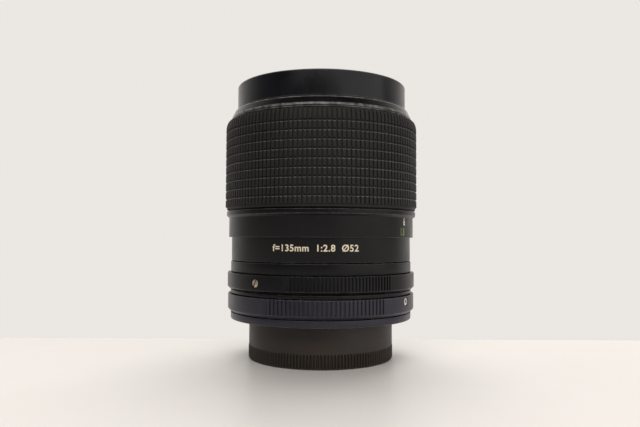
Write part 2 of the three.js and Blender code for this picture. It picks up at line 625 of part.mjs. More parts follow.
function opticalGroups() {
  const frontCell = turned([
    [CELL.narrow, CELL.bottom],
    [CELL.outer, CELL.bottom],
    [CELL.outer, CELL.top],
    [CELL.wide, CELL.top],
    [CELL.wide, CELL.step],
    [CELL.narrow, CELL.step],
  ], GLASS_SEGMENTS);
  const armWindow = sector(ARM_WINDOW.inner, ARM_WINDOW.outer,
    APERTURE_SCREW.azimuth - ARM_WINDOW.margin,
    APERTURE_SCREW.azimuth + APERTURE_TRAVEL + ARM_WINDOW.margin,
    REAR_CELL_FLANGE.bottom - 1, REAR_CELL.top + 1);
  const rearCell = turned([
    [REAR_CELL.lip, REAR_CELL.bottom],
    [REAR_CELL.outer, REAR_CELL.bottom],
    [REAR_CELL.outer, REAR_CELL_FLANGE.bottom],
    [REAR_CELL_FLANGE.outer, REAR_CELL_FLANGE.bottom],
    [REAR_CELL_FLANGE.outer, REAR_CELL.top],
    [REAR_CELL.inner, REAR_CELL.top],
    [REAR_CELL.inner, REAR_CELL.lipTop],
    [REAR_CELL.lip, REAR_CELL.lipTop],
  ]).subtract(armWindow);
  return [
    lensElement('front_element', FRONT_GLASS),
    lensElement('second_element', SECOND_GLASS),
    lensElement('third_element', THIRD_GLASS),
    lensElement('rear_element', REAR_GLASS),
    piece('front_cell', frontCell, innerBlack),
    piece('cell_retaining_ring', ring(CELL_RETAINER, GLASS_SEGMENTS), innerBlack),
    piece('element_spacer', ring(SPACER, GLASS_SEGMENTS), innerBlack),
    piece('inner_retaining_ring', ring(INNER_RETAINER, GLASS_SEGMENTS), innerBlack),
    piece('rear_cell', rearCell, innerBlack),
    piece('rear_retaining_ring', ring(REAR_RETAINER, TURNED_SEGMENTS), innerBlack),
  ];
}

// ---------------------------------------------------------------- iris

// Where a blade's drive pin is after the blade has swung closed by an angle about its pivot.
function drivePinAt(swing) {
  const angle = radians(DRIVE_PIN.angle + swing);
  return new THREE.Vector2(
    PIVOT.pitchRadius + DRIVE_PIN.offset * Math.cos(angle),
    DRIVE_PIN.offset * Math.sin(angle),
  );
}

function irisHousing() {
  let body = turned([
    [IRIS_HOUSING.inner, IRIS_HOUSING.bottom],
    [IRIS_HOUSING.outer, IRIS_HOUSING.bottom],
    [IRIS_HOUSING.outer, IRIS_HOUSING.top],
    [IRIS_HOUSING.opening, IRIS_HOUSING.top],
    [IRIS_HOUSING.opening, IRIS_HOUSING.plateBottom],
    [IRIS_HOUSING.inner, IRIS_HOUSING.plateBottom],
  ]);
  for (let i = 0; i < BLADE_COUNT; i += 1) {
    body = body.add(upright(PIVOT.radius, PIVOT.bottom, IRIS_HOUSING.plateBottom + 0.3,
      PIVOT.pitchRadius, 90 + i * BLADE_PITCH, PIN_SEGMENTS));
  }
  return piece('iris_housing', body, innerBlack);
}

// The flat outline of a blade, with its pivot on the +X axis.
function bladeOutline() {
  const { inner, outer, start, end } = BLADE;
  const middle = (inner + outer) / 2;
  const tip = radians(end);
  const polar = (radius, degrees) => [
    radius * Math.cos(radians(degrees)),
    radius * Math.sin(radians(degrees)),
  ];
  const shape = new THREE.Shape();
  shape.moveTo(...polar(inner, start));
  shape.absarc(0, 0, inner, radians(start), tip, false);
  shape.absarc(middle * Math.cos(tip), middle * Math.sin(tip), (outer - inner) / 2,
    tip + Math.PI, tip, true);
  shape.absarc(0, 0, outer, tip, radians(BLADE_TAB.right + 2), true);
  shape.lineTo(...polar(BLADE_TAB.outer, BLADE_TAB.right));
  shape.lineTo(...polar(BLADE_TAB.outer, BLADE_TAB.left / 2));
  shape.lineTo(...polar(BLADE_TAB.leftOuter, BLADE_TAB.left));
  shape.closePath();
  return shape;
}

function irisBladeSolid() {
  const plate = new THREE.ExtrudeGeometry(bladeOutline(), {
    depth: BLADE.thickness,
    bevelEnabled: false,
    curveSegments: 7,
  });
  const pivotHole = upright(PIVOT.radius + 0.1, -1, 1, PIVOT.pitchRadius, 90, PIN_SEGMENTS);
  return solidOf(plate).subtract(pivotHole);
}

function irisBlades() {
  const plate = irisBladeSolid();
  const pinCentre = drivePinAt(0);
  const blades = [];
  for (let i = 0; i < BLADE_COUNT; i += 1) {
    const base = BLADE.top - BLADE.thickness - i * BLADE.level;
    const pinLength = base + BLADE.thickness / 2 - DRIVE_PIN.bottom;
    const pin = new THREE.CylinderGeometry(DRIVE_PIN.radius, DRIVE_PIN.radius, pinLength, PIN_SEGMENTS);
    pin.rotateX(Math.PI / 2);
    pin.translate(pinCentre.x, pinCentre.y, BLADE.thickness / 2 - pinLength / 2);
    const blade = piece(`iris_blade_${i + 1}`, plate.add(solidOf(pin)), bladeSteel);
    blade.position.z = base;
    blade.rotation.z = radians(i * BLADE_PITCH);
    blades.push(blade);
  }
  return blades;
}

// The path of a drive pin as the cam ring sees it while the ring turns and the blade swings.
function camPath() {
  const path = [];
  const overrun = CAM_SLOT.overrun;
  for (let i = 0; i <= CAM_SLOT.steps; i += 1) {
    const turn = -overrun + (APERTURE_TRAVEL + 2 * overrun) * i / CAM_SLOT.steps;
    const pin = drivePinAt(turn * BLADE_SWING / APERTURE_TRAVEL);
    path.push(pin.rotateAround(new THREE.Vector2(), -radians(turn)));
  }
  return path;
}

// A slot of constant width along a smooth path, with blunt pointed ends.
function slotShape(path, halfWidth) {
  const left = [];
  const right = [];
  const last = path.length - 1;
  path.forEach((point, i) => {
    const ahead = path[Math.min(i + 1, last)].clone().sub(path[Math.max(i - 1, 0)]).normalize();
    const side = new THREE.Vector2(-ahead.y, ahead.x).multiplyScalar(halfWidth);
    left.push(point.clone().add(side));
    right.push(point.clone().sub(side));
  });
  const nose = (end, before) => end.clone().add(end.clone().sub(before).setLength(halfWidth * 0.7));
  const front = nose(path[last], path[last - 1]);
  const back = nose(path[0], path[1]);
  return new THREE.Shape([...left, front, ...right.reverse(), back]);
}

function camRing() {
  let body = ring(CAM_RING);
  const depth = CAM_RING.top - CAM_RING.bottom + 2;
  const slotGeometry = new THREE.ExtrudeGeometry(slotShape(camPath(), CAM_SLOT.halfWidth), {
    depth,
    bevelEnabled: false,
  });
  const slot = solidOf(slotGeometry.translate(0, 0, CAM_RING.bottom - 1));
  for (let i = 0; i < BLADE_COUNT; i += 1) {
    body = body.subtract(slot.rotate([0, 0, i * BLADE_PITCH]));
  }
  const arm = block(CAM_ARM.inner, CAM_ARM.outer, CAM_ARM.width, CAM_ARM.bottom,
    CAM_RING.bottom + 0.3, APERTURE_SCREW.azimuth);
  return piece('iris_cam_ring', body.add(arm), brass);
}

// ---------------------------------------------------------------- assembly

function assembly(...members) {
  const group = new THREE.Group();
  group.add(...members.flat());
  return group;
}

const barrel = assembly(
  mainBarrelPieces(), depthScaleRing(), rearHousing(), detentPieces(), guideKeyPieces(),
  mountPieces(), plungerPieces(),
);
const focusing = assembly(focusPieces());
const optics = assembly(
  opticsBarrel(), frontRings(), opticalGroups(), irisHousing(),
  piece('iris_retaining_ring', ring(IRIS_RETAINER), brass),
);
const iris = assembly(camRing(), irisBlades());

const lens = assembly(
  barrel, focusing, optics, iris, hood(), apertureRingPieces(), mountRing(), stopDownPin(), rearCap(),
);
lens.name = 'prime_camera_lens';

export default lens;
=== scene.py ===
"""The looks of a prime camera lens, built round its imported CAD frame.

Outlines are in millimetres and objects in metres."""

import json
import math

import bmesh
import bpy
from mathutils import Matrix, Vector


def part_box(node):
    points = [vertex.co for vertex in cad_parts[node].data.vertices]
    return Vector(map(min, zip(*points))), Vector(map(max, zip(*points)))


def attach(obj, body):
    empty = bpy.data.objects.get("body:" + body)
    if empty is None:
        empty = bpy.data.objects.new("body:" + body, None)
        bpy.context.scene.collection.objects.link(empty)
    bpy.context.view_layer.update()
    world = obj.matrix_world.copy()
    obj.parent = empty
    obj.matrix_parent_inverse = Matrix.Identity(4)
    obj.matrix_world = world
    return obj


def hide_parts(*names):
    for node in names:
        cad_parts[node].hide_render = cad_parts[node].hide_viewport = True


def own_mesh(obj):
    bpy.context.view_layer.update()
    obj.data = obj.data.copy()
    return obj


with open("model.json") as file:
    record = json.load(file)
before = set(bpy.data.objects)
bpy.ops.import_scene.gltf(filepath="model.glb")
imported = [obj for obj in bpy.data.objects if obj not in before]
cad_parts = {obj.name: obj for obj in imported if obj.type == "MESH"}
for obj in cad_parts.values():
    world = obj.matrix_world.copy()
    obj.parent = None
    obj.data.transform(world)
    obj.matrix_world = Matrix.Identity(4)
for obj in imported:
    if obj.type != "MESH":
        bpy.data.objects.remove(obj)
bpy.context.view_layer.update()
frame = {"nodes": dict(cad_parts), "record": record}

MM = 0.001
BODY_OF = {node: body for body, nodes in frame["record"]["behaviour"]["bodies"].items() for node in nodes}
MOUNTS = {mount["name"]: mount for mount in frame["record"]["mounts"]}
SLOT_OF = {row["node"]: row["material_slot"] for row in frame["record"]["subparts"]}

# Azimuths are in degrees from the side that faces the camera (-Y), growing towards +X.
INDEX_AZIMUTH = 180.0
TURN_STEP = 1.5
DEGREES_PER_MM = 10.0        # turn of the focus ring for each millimetre that the optics travel
FOCAL_LENGTH = 137.5         # the true focal length, which puts the 6 ft mark where the photograph has it
STOP_AZIMUTH_STEP = 7.0      # turn of the aperture ring from one stop to the next
STOPS = ["2.8", "4", "5.6", "8", "11", "16", "22"]
FEET = 304.8
INFINITY = "infinity"        # drawn as a figure 8 laid on its side, as the built-in font has no such sign
SHARP_ANGLE = math.radians(38)
FINE_TURN_STEP = 7.5         # for screws and pins

# ------------------------------------------------------------------ places and sizes from the frame


def span(node):
    """Outer radius, bottom and top of a CAD node that is turned about the lens axis."""
    low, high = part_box(node)
    return max(high.x, high.y, -low.x, -low.y) / MM, low.z / MM, high.z / MM


def outward(azimuth):
    """The direction out from the lens axis at an azimuth."""
    angle = math.radians(azimuth)
    return Vector((math.sin(angle), -math.cos(angle), 0))


def middle(node):
    """Azimuth, distance from the lens axis and height of the middle of a small CAD node."""
    low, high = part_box(node)
    centre = (low + high) / 2 / MM
    return math.degrees(math.atan2(centre.x, -centre.y)), math.hypot(centre.x, centre.y), centre.z


def reach(node, azimuth):
    """How far in and out a small CAD node goes along a radius of the lens."""
    along = [v.co.dot(outward(azimuth)) / MM for v in frame["nodes"][node].data.vertices]
    return min(along), max(along)


def simplified(outline):
    """An outline without the points that lie on a straight line between their neighbours."""
    kept = []
    for i, point in enumerate(outline):
        before, after = outline[i - 1], outline[(i + 1) % len(outline)]
        a, b = point - before, after - point
        if a.length > 1e-4 and abs(a.cross(b)) > 2e-4 * max(a.length * b.length, 1e-9) or point.x < 1e-4:
            kept.append(point)
    return kept


def cad_outline(node, azimuth=5.625):
    """The closed outline (radius, height) in which a half-plane cuts a turned CAD node."""
    solid = bmesh.new()
    solid.from_mesh(frame["nodes"][node].data)
    bmesh.ops.remove_doubles(solid, verts=solid.verts, dist=1e-6)
    out = outward(azimuth)
    cut = bmesh.ops.bisect_plane(solid, geom=solid.verts[:] + solid.edges[:] + solid.faces[:], dist=1e-8,
                                 plane_co=(0, 0, 0), plane_no=outward(azimuth + 90))
    links = {}
    for edge in cut["geom_cut"]:
        if isinstance(edge, bmesh.types.BMEdge) and all(v.co.dot(out) > -1e-6 for v in edge.verts):
            for here, there in (edge.verts, reversed(edge.verts)):
                links.setdefault(here, []).append(there)
    ends = [v for v, near in links.items() if len(near) == 1]
    here = ends[0] if ends else next(iter(links))
    path, seen = [here], {here}
    while True:
        ahead = [v for v in links[here] if v not in seen]
        if not ahead:
            break
        here = ahead[0]
        seen.add(here)
        path.append(here)
    outline = [Vector((max(v.co.dot(out), 0) / MM, v.co.z / MM)) for v in path]
    solid.free()
    stretch = span(node)[0] / max(p.x for p in outline)
    return simplified([Vector((p.x * stretch, p.y)) for p in outline])


# ------------------------------------------------------------------ outlines and turned meshes


def curve_point(start, corner, end, share):
    """A point on the curve that rounds off a corner between start and end."""
    return start.lerp(corner, share).lerp(corner.lerp(end, share), share)


def soften(outline, bevel=0.12, steps=3):
    """Rounds the corners of a closed outline. A point may carry its own bevel as a third number, and as a
    fourth its share of edge wear and painted highlight. Gives (radius, height, edge), where edge is that
    share on corners that stand out."""
    corners = [(Vector(p[:2]), p[2] if len(p) > 2 else bevel) for p in outline]
    edge_wear_and_highlight = [p[3] if len(p) > 3 else 1.0 for p in outline]
    area = sum(a.x * b.y - b.x * a.y for (a, _), (b, _) in zip(corners, corners[1:] + corners[:1]))
    rounded = []
    for i, (corner, size) in enumerate(corners):
        before, after = corners[i - 1][0] - corner, corners[(i + 1) % len(corners)][0] - corner
        on_axis = corner.x < 1e-4
        if size == 0 or on_axis:
            rounded.append((corner.x, corner.y, 0.0))
            continue
        start = corner + before.normalized() * min(size, 0.45 * before.length)
        end = corner + after.normalized() * min(size, 0.45 * after.length)
        stands_out = before.cross(after) * area < -1e-9
        for k in range(steps + 1):
            point = curve_point(start, corner, end, k / steps)
            edge = edge_wear_and_highlight[i] if stands_out and 0 < k < steps else 0.0
            rounded.append((point.x, point.y, edge))
    return rounded


def plain_turn(step=TURN_STEP):
    """Even azimuths round the turn, all with depth 0."""
    return [(i * step, 0.0) for i in range(round(360 / step))]


def ribbed(count, start, end, shape):
    """Azimuths, each with a depth from 0 to 1: ribs from start to end, and plain between.
    The count is for a full turn, and the shape is one rib as (share of the pitch, depth)."""
    pitch = 360 / count
    first, last = math.ceil(start / pitch), math.floor(end / pitch)
    samples = [((k + at) * pitch, depth) for k in range(first, last) for at, depth in shape]
    left = 360 - (last - first) * pitch
    steps = round(left / TURN_STEP)
    if steps:
        samples += [(last * pitch + left * i / steps, 0.0) for i in range(steps)]
    return samples


def revolve(section, azimuths=None):
    """A closed mesh from section(depth), a softened outline, taken round the lens axis."""
    azimuths = azimuths or plain_turn()
    sections = {depth: section(depth) for _, depth in azimuths}
    vertices, edges = [], []
    for azimuth, depth in azimuths:
        out = outward(azimuth)
        for radius, height, edge in sections[depth]:
            vertices.append((out.x * radius * MM, out.y * radius * MM, height * MM))
            edges.append(edge)
    count, turns = len(vertices) // len(azimuths), len(azimuths)
    faces = []
    for i in range(turns):
        here, there = i * count, (i + 1) % turns * count
        for j in range(count):
            k = (j + 1) % count
            faces.append((here + j, there + j, there + k, here + k))
    return finished_mesh(vertices, faces, edges)


def finished_mesh(vertices, faces, edges=None):
    """A welded mesh with outward faces, smooth except across edges over the sharp angle."""
    mesh = bpy.data.meshes.new("shape")
    mesh.from_pydata(vertices, [], faces)
    if edges:
        mesh.attributes.new("edge", "FLOAT", "POINT").data.foreach_set("value", edges)
    work = bmesh.new()
    work.from_mesh(mesh)
    bmesh.ops.remove_doubles(work, verts=work.verts, dist=1e-7)
    bmesh.ops.dissolve_degenerate(work, edges=work.edges, dist=1e-8)
    bmesh.ops.recalc_face_normals(work, faces=work.faces)
    work.to_mesh(mesh)
    work.free()
    mesh.shade_smooth()
    mesh.set_sharp_from_angle(angle=SHARP_ANGLE)
    return mesh


def evaluated_mesh(obj):
    """A mesh of what an object looks like with its modifiers, or of a text object."""
    bpy.context.view_layer.update()
    return bpy.data.meshes.new_from_object(obj.evaluated_get(bpy.context.evaluated_depsgraph_get()))


def carve(mesh, cutter):
    """The mesh with another closed mesh cut out of it."""
    body = bpy.data.objects.new("body", mesh)
    tool = bpy.data.objects.new("tool", cutter)
    for obj in (body, tool):
        bpy.context.scene.collection.objects.link(obj)
    cut = body.modifiers.new("cut", "BOOLEAN")
    cut.operation = "DIFFERENCE"
    cut.solver = "EXACT"
    cut.object = tool
    result = evaluated_mesh(body)
    for obj in (body, tool):
        bpy.data.objects.remove(obj)
    result.set_sharp_from_angle(angle=SHARP_ANGLE)
    return result


def upright(radius, bottom, top, azimuth=0.0, distance=0.0, sides=32):
    """A closed prism or cylinder that stands at a distance from the lens axis."""
    work = bmesh.new()
    centre = outward(azimuth) * distance
    place = Matrix.Translation(Vector((centre.x, centre.y, (bottom + top) / 2)) * MM)
    bmesh.ops.create_cone(work, cap_ends=True, segments=sides, radius1=radius * MM, radius2=radius * MM,
                          depth=(top - bottom) * MM, matrix=place)
    mesh = bpy.data.meshes.new("cutter")
    work.to_mesh(mesh)
    work.free()
    return mesh


def bar(length, width, depth, turn=0.0, lift=0.0):
    """A closed box centred on the Z axis, turned about it, with its middle at a lift."""
    work = bmesh.new()
    place = Matrix.Translation((0, 0, lift * MM)) @ Matrix.Rotation(math.radians(turn), 4, "Z")
    size = Matrix.Diagonal((length * MM, width * MM, depth * MM, 1))
    bmesh.ops.create_cube(work, size=1, matrix=place @ size)
    mesh = bpy.data.meshes.new("cutter")
    work.to_mesh(mesh)
    work.free()
    return mesh


def laid_radially(mesh, azimuth, height):
    """Turns a mesh made along Z so that it points out from the lens axis at an azimuth and a height."""
    out = outward(azimuth)
    across = Vector((-out.y, out.x, 0))
    up = Vector((0, 0, 1))
    turn = Matrix((across, up, out)).transposed().to_4x4()
    mesh.transform(Matrix.Translation(up * height * MM) @ turn)
    return mesh


def piece(name, mesh, material, *nodes, body=None):
    """Puts a mesh in the scene as a piece that stands for CAD nodes and rides with their body."""
    obj = bpy.data.objects.new(name, mesh)
    mesh.name = name
    bpy.context.scene.collection.objects.link(obj)
    mesh.materials.clear()
    mesh.materials.append(material)
    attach(obj, body or BODY_OF[nodes[0]])
    if nodes:
        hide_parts(*nodes)
    return obj


# ------------------------------------------------------------------ materials


class Finish:
    """A Principled material built up from nodes. Its patterns are in the object's own coordinates, so they
    move with the piece."""

    def __init__(self, name, **sockets):
        self.material = bpy.data.materials.new(name)
        self.material.use_nodes = True
        self.tree = self.material.node_tree
        self.surface = self.tree.nodes["Principled BSDF"]
        self.place = self.add("ShaderNodeTexCoord").outputs["Object"]
        for socket, value in sockets.items():
            self.surface.inputs[socket.replace("_", " ").title().replace("Ior", "IOR")].default_value = value

    def add(self, kind, inputs=None, **settings):
        """A new node with its settings, and its inputs set or linked."""
        node = self.tree.nodes.new(kind)
        for name, value in settings.items():
            setattr(node, name, value)
        for socket, value in (inputs or {}).items():
            if isinstance(value, bpy.types.NodeSocket):
                self.tree.links.new(value, node.inputs[socket])
            else:
                node.inputs[socket].default_value = value
        return node

    def noise(self, size, detail=3.0, stretch=(1, 1, 1)):
        """Noise with features of a size in millimetres, stretched along X, Y and Z."""
        scale = [1 / (size * MM * s) for s in stretch]
        spread = self.add("ShaderNodeVectorMath", {0: self.place, 1: scale}, operation="MULTIPLY")
        inputs = {"Vector": spread.outputs[0], "Scale": 1.0, "Detail": detail, "Roughness": 0.6}
        return self.add("ShaderNodeTexNoise", inputs).outputs["Fac"]

    def remap(self, value, low, high, start=0.0, end=1.0):
        """Stretches the range from low to high over the range from start to end."""
        inputs = {"Value": value, "From Min": low, "From Max": high, "To Min": start, "To Max": end}
        return self.add("ShaderNodeMapRange", inputs).outputs["Result"]

    def times(self, a, b):
        return self.add("ShaderNodeMath", {0: a, 1: b}, operation="MULTIPLY").outputs[0]

    def plus(self, a, b):
        return self.add("ShaderNodeMath", {0: a, 1: b}, operation="ADD").outputs[0]

    def mix(self, share, a, b):
        """Colour a, with a share of colour b."""
        node = self.add("ShaderNodeMix", data_type="RGBA")
        for socket, value in ((0, share), (6, a), (7, b)):
            if isinstance(value, bpy.types.NodeSocket):
                self.tree.links.new(value, node.inputs[socket])
            else:
                node.inputs[socket].default_value = value if socket == 0 else (*value, 1)
        return node.outputs[2]

    def edge(self):
        """The mesh's own measure of where its corners stand out."""
        return self.add("ShaderNodeAttribute", attribute_name="edge").outputs["Fac"]

    def finish(self, color, roughness, bump=None, depth=0.02, strength=1.0):
        """Links the surface up. Depth is the height of the bumps in millimetres."""
        self.tree.links.new(color, self.surface.inputs["Base Color"])
        self.tree.links.new(roughness, self.surface.inputs["Roughness"])
        if bump is not None:
            inputs = {"Height": bump, "Distance": depth * MM, "Strength": strength}
            normal = self.add("ShaderNodeBump", inputs).outputs["Normal"]
            self.tree.links.new(normal, self.surface.inputs["Normal"])
        return self.material


def grey(level, warmth=1.0):
    """A grey, warmer where warmth is over 1."""
    return (level * warmth, level, level / warmth)


def anodised(name, tone, edge_wear_and_highlight, roughness=0.34, specular=0.42, wear=0.5):
    """Dyed and sealed aluminium: satin, with fine turning marks, handling marks, and edges lightened partly
    by wear and partly by a painted highlight; wear sets how strongly.
    """
    f = Finish(name, specular_ior_level=specular)
    patches, grain = f.noise(9, 4), f.noise(0.16, 2)
    turning = f.noise(0.11, 2, stretch=(300, 300, 1))
    specks = f.remap(f.noise(0.5, 2), 0.72, 0.78)
    body = f.mix(f.remap(patches, 0.35, 0.7), tone, [c * 1.45 for c in tone])
    body = f.mix(f.times(specks, 0.25), body, [c * 6 for c in tone])
    # Corners that stand out turn towards the lighter colour: partly wear, partly a painted highlight.
    edge_wear_and_highlight_share = f.times(f.edge(), f.remap(f.noise(1.6, 4), 0.38, 0.62, 0.25 * wear, wear))
    color = f.mix(edge_wear_and_highlight_share, body, edge_wear_and_highlight)
    patchy = f.remap(patches, 0.3, 0.7, roughness - 0.05, roughness + 0.06)
    rough = f.plus(patchy, f.remap(grain, 0.3, 0.7, -0.03, 0.03))
    bumps = f.plus(f.times(turning, 0.6), f.times(grain, 0.5))
    return f.finish(color, rough, bumps, depth=0.006, strength=0.5)


def moulded_plastic(name, tone, dust_and_highlight):
    """Matte moulded plastic with a fine spark texture, scuffs and a little dust, and dust and a painted
    highlight on corners that stand out.
    """
    f = Finish(name, specular_ior_level=0.4)
    patches, spark = f.noise(7, 5), f.noise(0.22, 2)
    scuffs = f.remap(f.noise(0.5, 3, stretch=(9, 9, 0.6)), 0.62, 0.75)
    body = f.mix(f.remap(patches, 0.3, 0.7), tone, [c * 1.35 for c in tone])
    body = f.mix(f.times(scuffs, 0.22), body, dust_and_highlight)
    # Corners that stand out turn towards the lighter colour: partly dust, partly a painted highlight.
    color = f.mix(f.times(f.edge(), f.remap(f.noise(1.2), 0.35, 0.65, 0.12, 0.45)), body, dust_and_highlight)
    rough = f.remap(f.plus(patches, f.times(scuffs, 0.3)), 0.3, 0.8, 0.5, 0.66)
    return f.finish(color, rough, spark, depth=0.02, strength=0.45)


def moulded_rubber(name, tone, dust_and_highlight):
    """Old rubber: dull, slightly bloomed, with dust and a painted highlight on the raised edges."""
    f = Finish(name, specular_ior_level=0.22)
    bloom, grain = f.noise(11, 5), f.noise(0.1, 3)
    body = f.mix(f.remap(bloom, 0.3, 0.7), tone, [c * 1.5 for c in tone])
    # The raised edges turn towards the lighter colour: partly dust, partly a painted highlight.
    dust = f.times(f.edge(), f.remap(f.noise(0.9, 4), 0.3, 0.68, 0.25, 1.0))
    color = f.mix(dust, body, dust_and_highlight)
    return f.finish(color, f.remap(bloom, 0.3, 0.7, 0.52, 0.68), grain, depth=0.015, strength=0.6)


def machined_metal(name, tone, dull, roughness=0.3, streak=(1, 1, 1)):
    """Bare or plated metal with tool marks and a dull film in patches."""
    f = Finish(name, metallic=1.0)
    film, marks = f.noise(1.4, 5), f.noise(0.08, 3, stretch=streak)
    color = f.mix(f.remap(film, 0.4, 0.66), tone, dull)
    rough = f.plus(f.remap(film, 0.3, 0.7, roughness - 0.05, roughness + 0.12), f.times(marks, 0.08))
    return f.finish(color, rough, marks, depth=0.006, strength=0.5)


def black_felt(name):
    """Black felt, with tufts and fibres."""
    f = Finish(name, sheen_weight=0.6, sheen_roughness=0.5, specular_ior_level=0.1)
    fibres, tufts = f.noise(0.12, 4, stretch=(3, 1, 1)), f.noise(0.7, 3)
    color = f.mix(f.remap(tufts, 0.3, 0.7), grey(0.008), grey(0.028))
    return f.finish(color, f.remap(tufts, 0.3, 0.7, 0.85, 1.0), fibres, depth=0.08, strength=0.9)


def optical_glass(name, film_nm):
    """Polished glass with one thin anti-reflection film and a trace of dust."""
    f = Finish(name, transmission_weight=1.0, ior=1.6, thin_film_thickness=film_nm, thin_film_ior=1.38)
    dust = f.remap(f.noise(0.9, 5), 0.66, 0.8)
    color = f.mix(dust, (0.97, 0.985, 1.0), (0.8, 0.8, 0.78))
    return f.finish(color, f.remap(dust, 0, 1, 0.004, 0.09))


def scale_paint(name, tone):
    """Paint wiped into an engraving, slightly uneven and dirtied."""
    f = Finish(name, specular_ior_level=0.3)
    wear = f.remap(f.noise(0.5, 4), 0.42, 0.75)
    color = f.mix(f.times(wear, 0.5), tone, [c * 0.55 for c in tone])
    return f.finish(color, f.remap(wear, 0, 1, 0.45, 0.62), f.noise(0.07, 2), depth=0.01, strength=0.5)


SATIN_TONE = (0.0024, 0.0023, 0.0029)
# Lighter colour for corners that stand out: partly wear, partly a painted highlight.
SATIN_EDGE_WEAR_AND_HIGHLIGHT = grey(0.16, 1.06)
# Painted highlight for the trim's bevel.
TRIM_BEVEL_HIGHLIGHT = grey(0.2, 1.03)
HOOD_TONE = (0.003, 0.0028, 0.004)
BLUE_TONE = (0.0155, 0.0143, 0.0225)
# Lighter colour for corners that stand out: partly wear, partly a painted highlight.
BLUE_EDGE_WEAR_AND_HIGHLIGHT = (0.17, 0.16, 0.18)
CAP_TONE = (0.023, 0.0168, 0.0126)
# Dust, and a painted highlight on the cap's corners.
CAP_DUST_AND_HIGHLIGHT = (0.115, 0.089, 0.069)
RUBBER_TONE = grey(0.0105, 1.07)
# Dust and painted highlight for the grip's raised edges.
RUBBER_DUST_AND_HIGHLIGHT = grey(0.3, 1.04)
satin_black = anodised("satin_black", SATIN_TONE, SATIN_EDGE_WEAR_AND_HIGHLIGHT, specular=0.21)
# The trim's wide bevel is lightened as a painted highlight.
trim_black = anodised("trim_black", SATIN_TONE, TRIM_BEVEL_HIGHLIGHT, roughness=0.22, specular=0.26, wear=0.8)
hood_black = anodised("hood_black", HOOD_TONE, SATIN_EDGE_WEAR_AND_HIGHLIGHT, roughness=0.3, specular=0.3, wear=0.3)
blue_black = anodised("blue_black", BLUE_TONE, BLUE_EDGE_WEAR_AND_HIGHLIGHT, roughness=0.36, specular=0.3, wear=0.4)
# Its second grey lightens corners that stand out: partly wear, partly a painted highlight.
inner_black = anodised("inner_black", grey(0.006), grey(0.05), roughness=0.55, specular=0.3, wear=0.3)
cap_plastic = moulded_plastic("cap_plastic", CAP_TONE, CAP_DUST_AND_HIGHLIGHT)
grip_rubber = moulded_rubber("grip_rubber", RUBBER_TONE, RUBBER_DUST_AND_HIGHLIGHT)
nickel = machined_metal("nickel", (0.78, 0.74, 0.68), (0.5, 0.46, 0.4), 0.26)
bronze = machined_metal("bronze", (0.5, 0.44, 0.35), (0.3, 0.26, 0.2), 0.4)
brass = machined_metal("brass", (0.72, 0.55, 0.27), (0.42, 0.3, 0.14), 0.34, streak=(40, 40, 1))
steel = machined_metal("steel", (0.56, 0.56, 0.57), (0.34, 0.33, 0.32), 0.3, streak=(40, 40, 1))
blade_steel = machined_metal("blade_steel", (0.07, 0.072, 0.085), (0.04, 0.04, 0.05), 0.42, streak=(6, 1, 1))
felt = black_felt("felt")
front_glass = optical_glass("front_glass", 120)
inner_glass = optical_glass("inner_glass", 105)
cream_paint = scale_paint("cream_paint", (0.74, 0.66, 0.5))
green_paint = scale_paint("green_paint", (0.17, 0.25, 0.05))
red_paint = scale_paint("red_paint", (0.5, 0.05, 0.03))

SLOT_FINISH = {
    "satin_black": satin_black,
    "blue_black": blue_black,
    "inner_black": inner_black,
    "cap_plastic": cap_plastic,
    "grip_rubber": grip_rubber,
    "nickel": nickel,
    "bronze": bronze,
    "brass": brass,
    "steel": steel,
    "blade_steel": blade_steel,
    "felt": felt,
    "glass": inner_glass,
}

# ------------------------------------------------------------------ turned pieces straight from the frame

TURNED = [
    "depth_scale_ring", "main_barrel", "focus_ring", "hood_felt_ring", "name_ring", "front_cell",
    "cell_retaining_ring", "element_spacer", "inner_retaining_ring", "rear_retaining_ring",
    "iris_retaining_ring",
]
KEYWAY_WIDTH = 4.5
KEYWAY_ABOVE_KEY = 12.5
KEYWAY_BELOW_BARREL = 14.5


def turned_pieces():
    """Fine copies of the plain turned CAD nodes, with broken edges."""
    for node in TURNED:
        outline = soften(cad_outline(node), bevel=0.14)
        piece(node + "_turned", revolve(lambda depth: outline), SLOT_FINISH[SLOT_OF[node]], node)


def optics_barrel():
    """The barrel that carries the glass, with its keyway at the back."""
    node = "optics_barrel"
    outline = soften(cad_outline(node, azimuth=-39.375), bevel=0.14)
    mesh = revolve(lambda depth: outline)
    azimuth, distance, _ = middle("guide_key")
    _, bottom, _ = span(node)
    _, _, key_top = span("guide_key")
    slot_top, slot_bottom, slot_depth = key_top + KEYWAY_ABOVE_KEY, bottom - KEYWAY_BELOW_BARREL, 8
    slot = bar(KEYWAY_WIDTH, slot_depth, slot_top - slot_bottom, lift=(slot_top + slot_bottom) / 2)
    turn = Matrix.Rotation(math.radians(azimuth), 4, "Z")
    slot.transform(turn @ Matrix.Translation((0, -distance * MM, 0)))
    piece("optics_barrel_turned", carve(mesh, slot), inner_black, node)


# ------------------------------------------------------------------ rear cap and mount

RIB_WALL = 0.06                       # share of a rib's pitch that its flank takes
CAP_RIBS = 144
MOUNT_RING_RIBS = (148, -34, 39)      # count to the full turn, and the azimuths between which they are cut
CAP_THREAD_PITCH = 1.0


def cap_ribs():
    """The rounded ribs round the foot of the rear cap."""
    shape = [(0.0, 1.0), (0.30, 1.0), (0.42, 0.3), (0.56, 0.0), (0.74, 0.0), (0.88, 0.3)]
    return ribbed(CAP_RIBS, 0, 360, shape)


def threaded_turn(count):
    """Azimuths round one turn of a screw thread, each with its share of the turn in place of a depth."""
    return [(i * 360 / count, i / count) for i in range(count)]


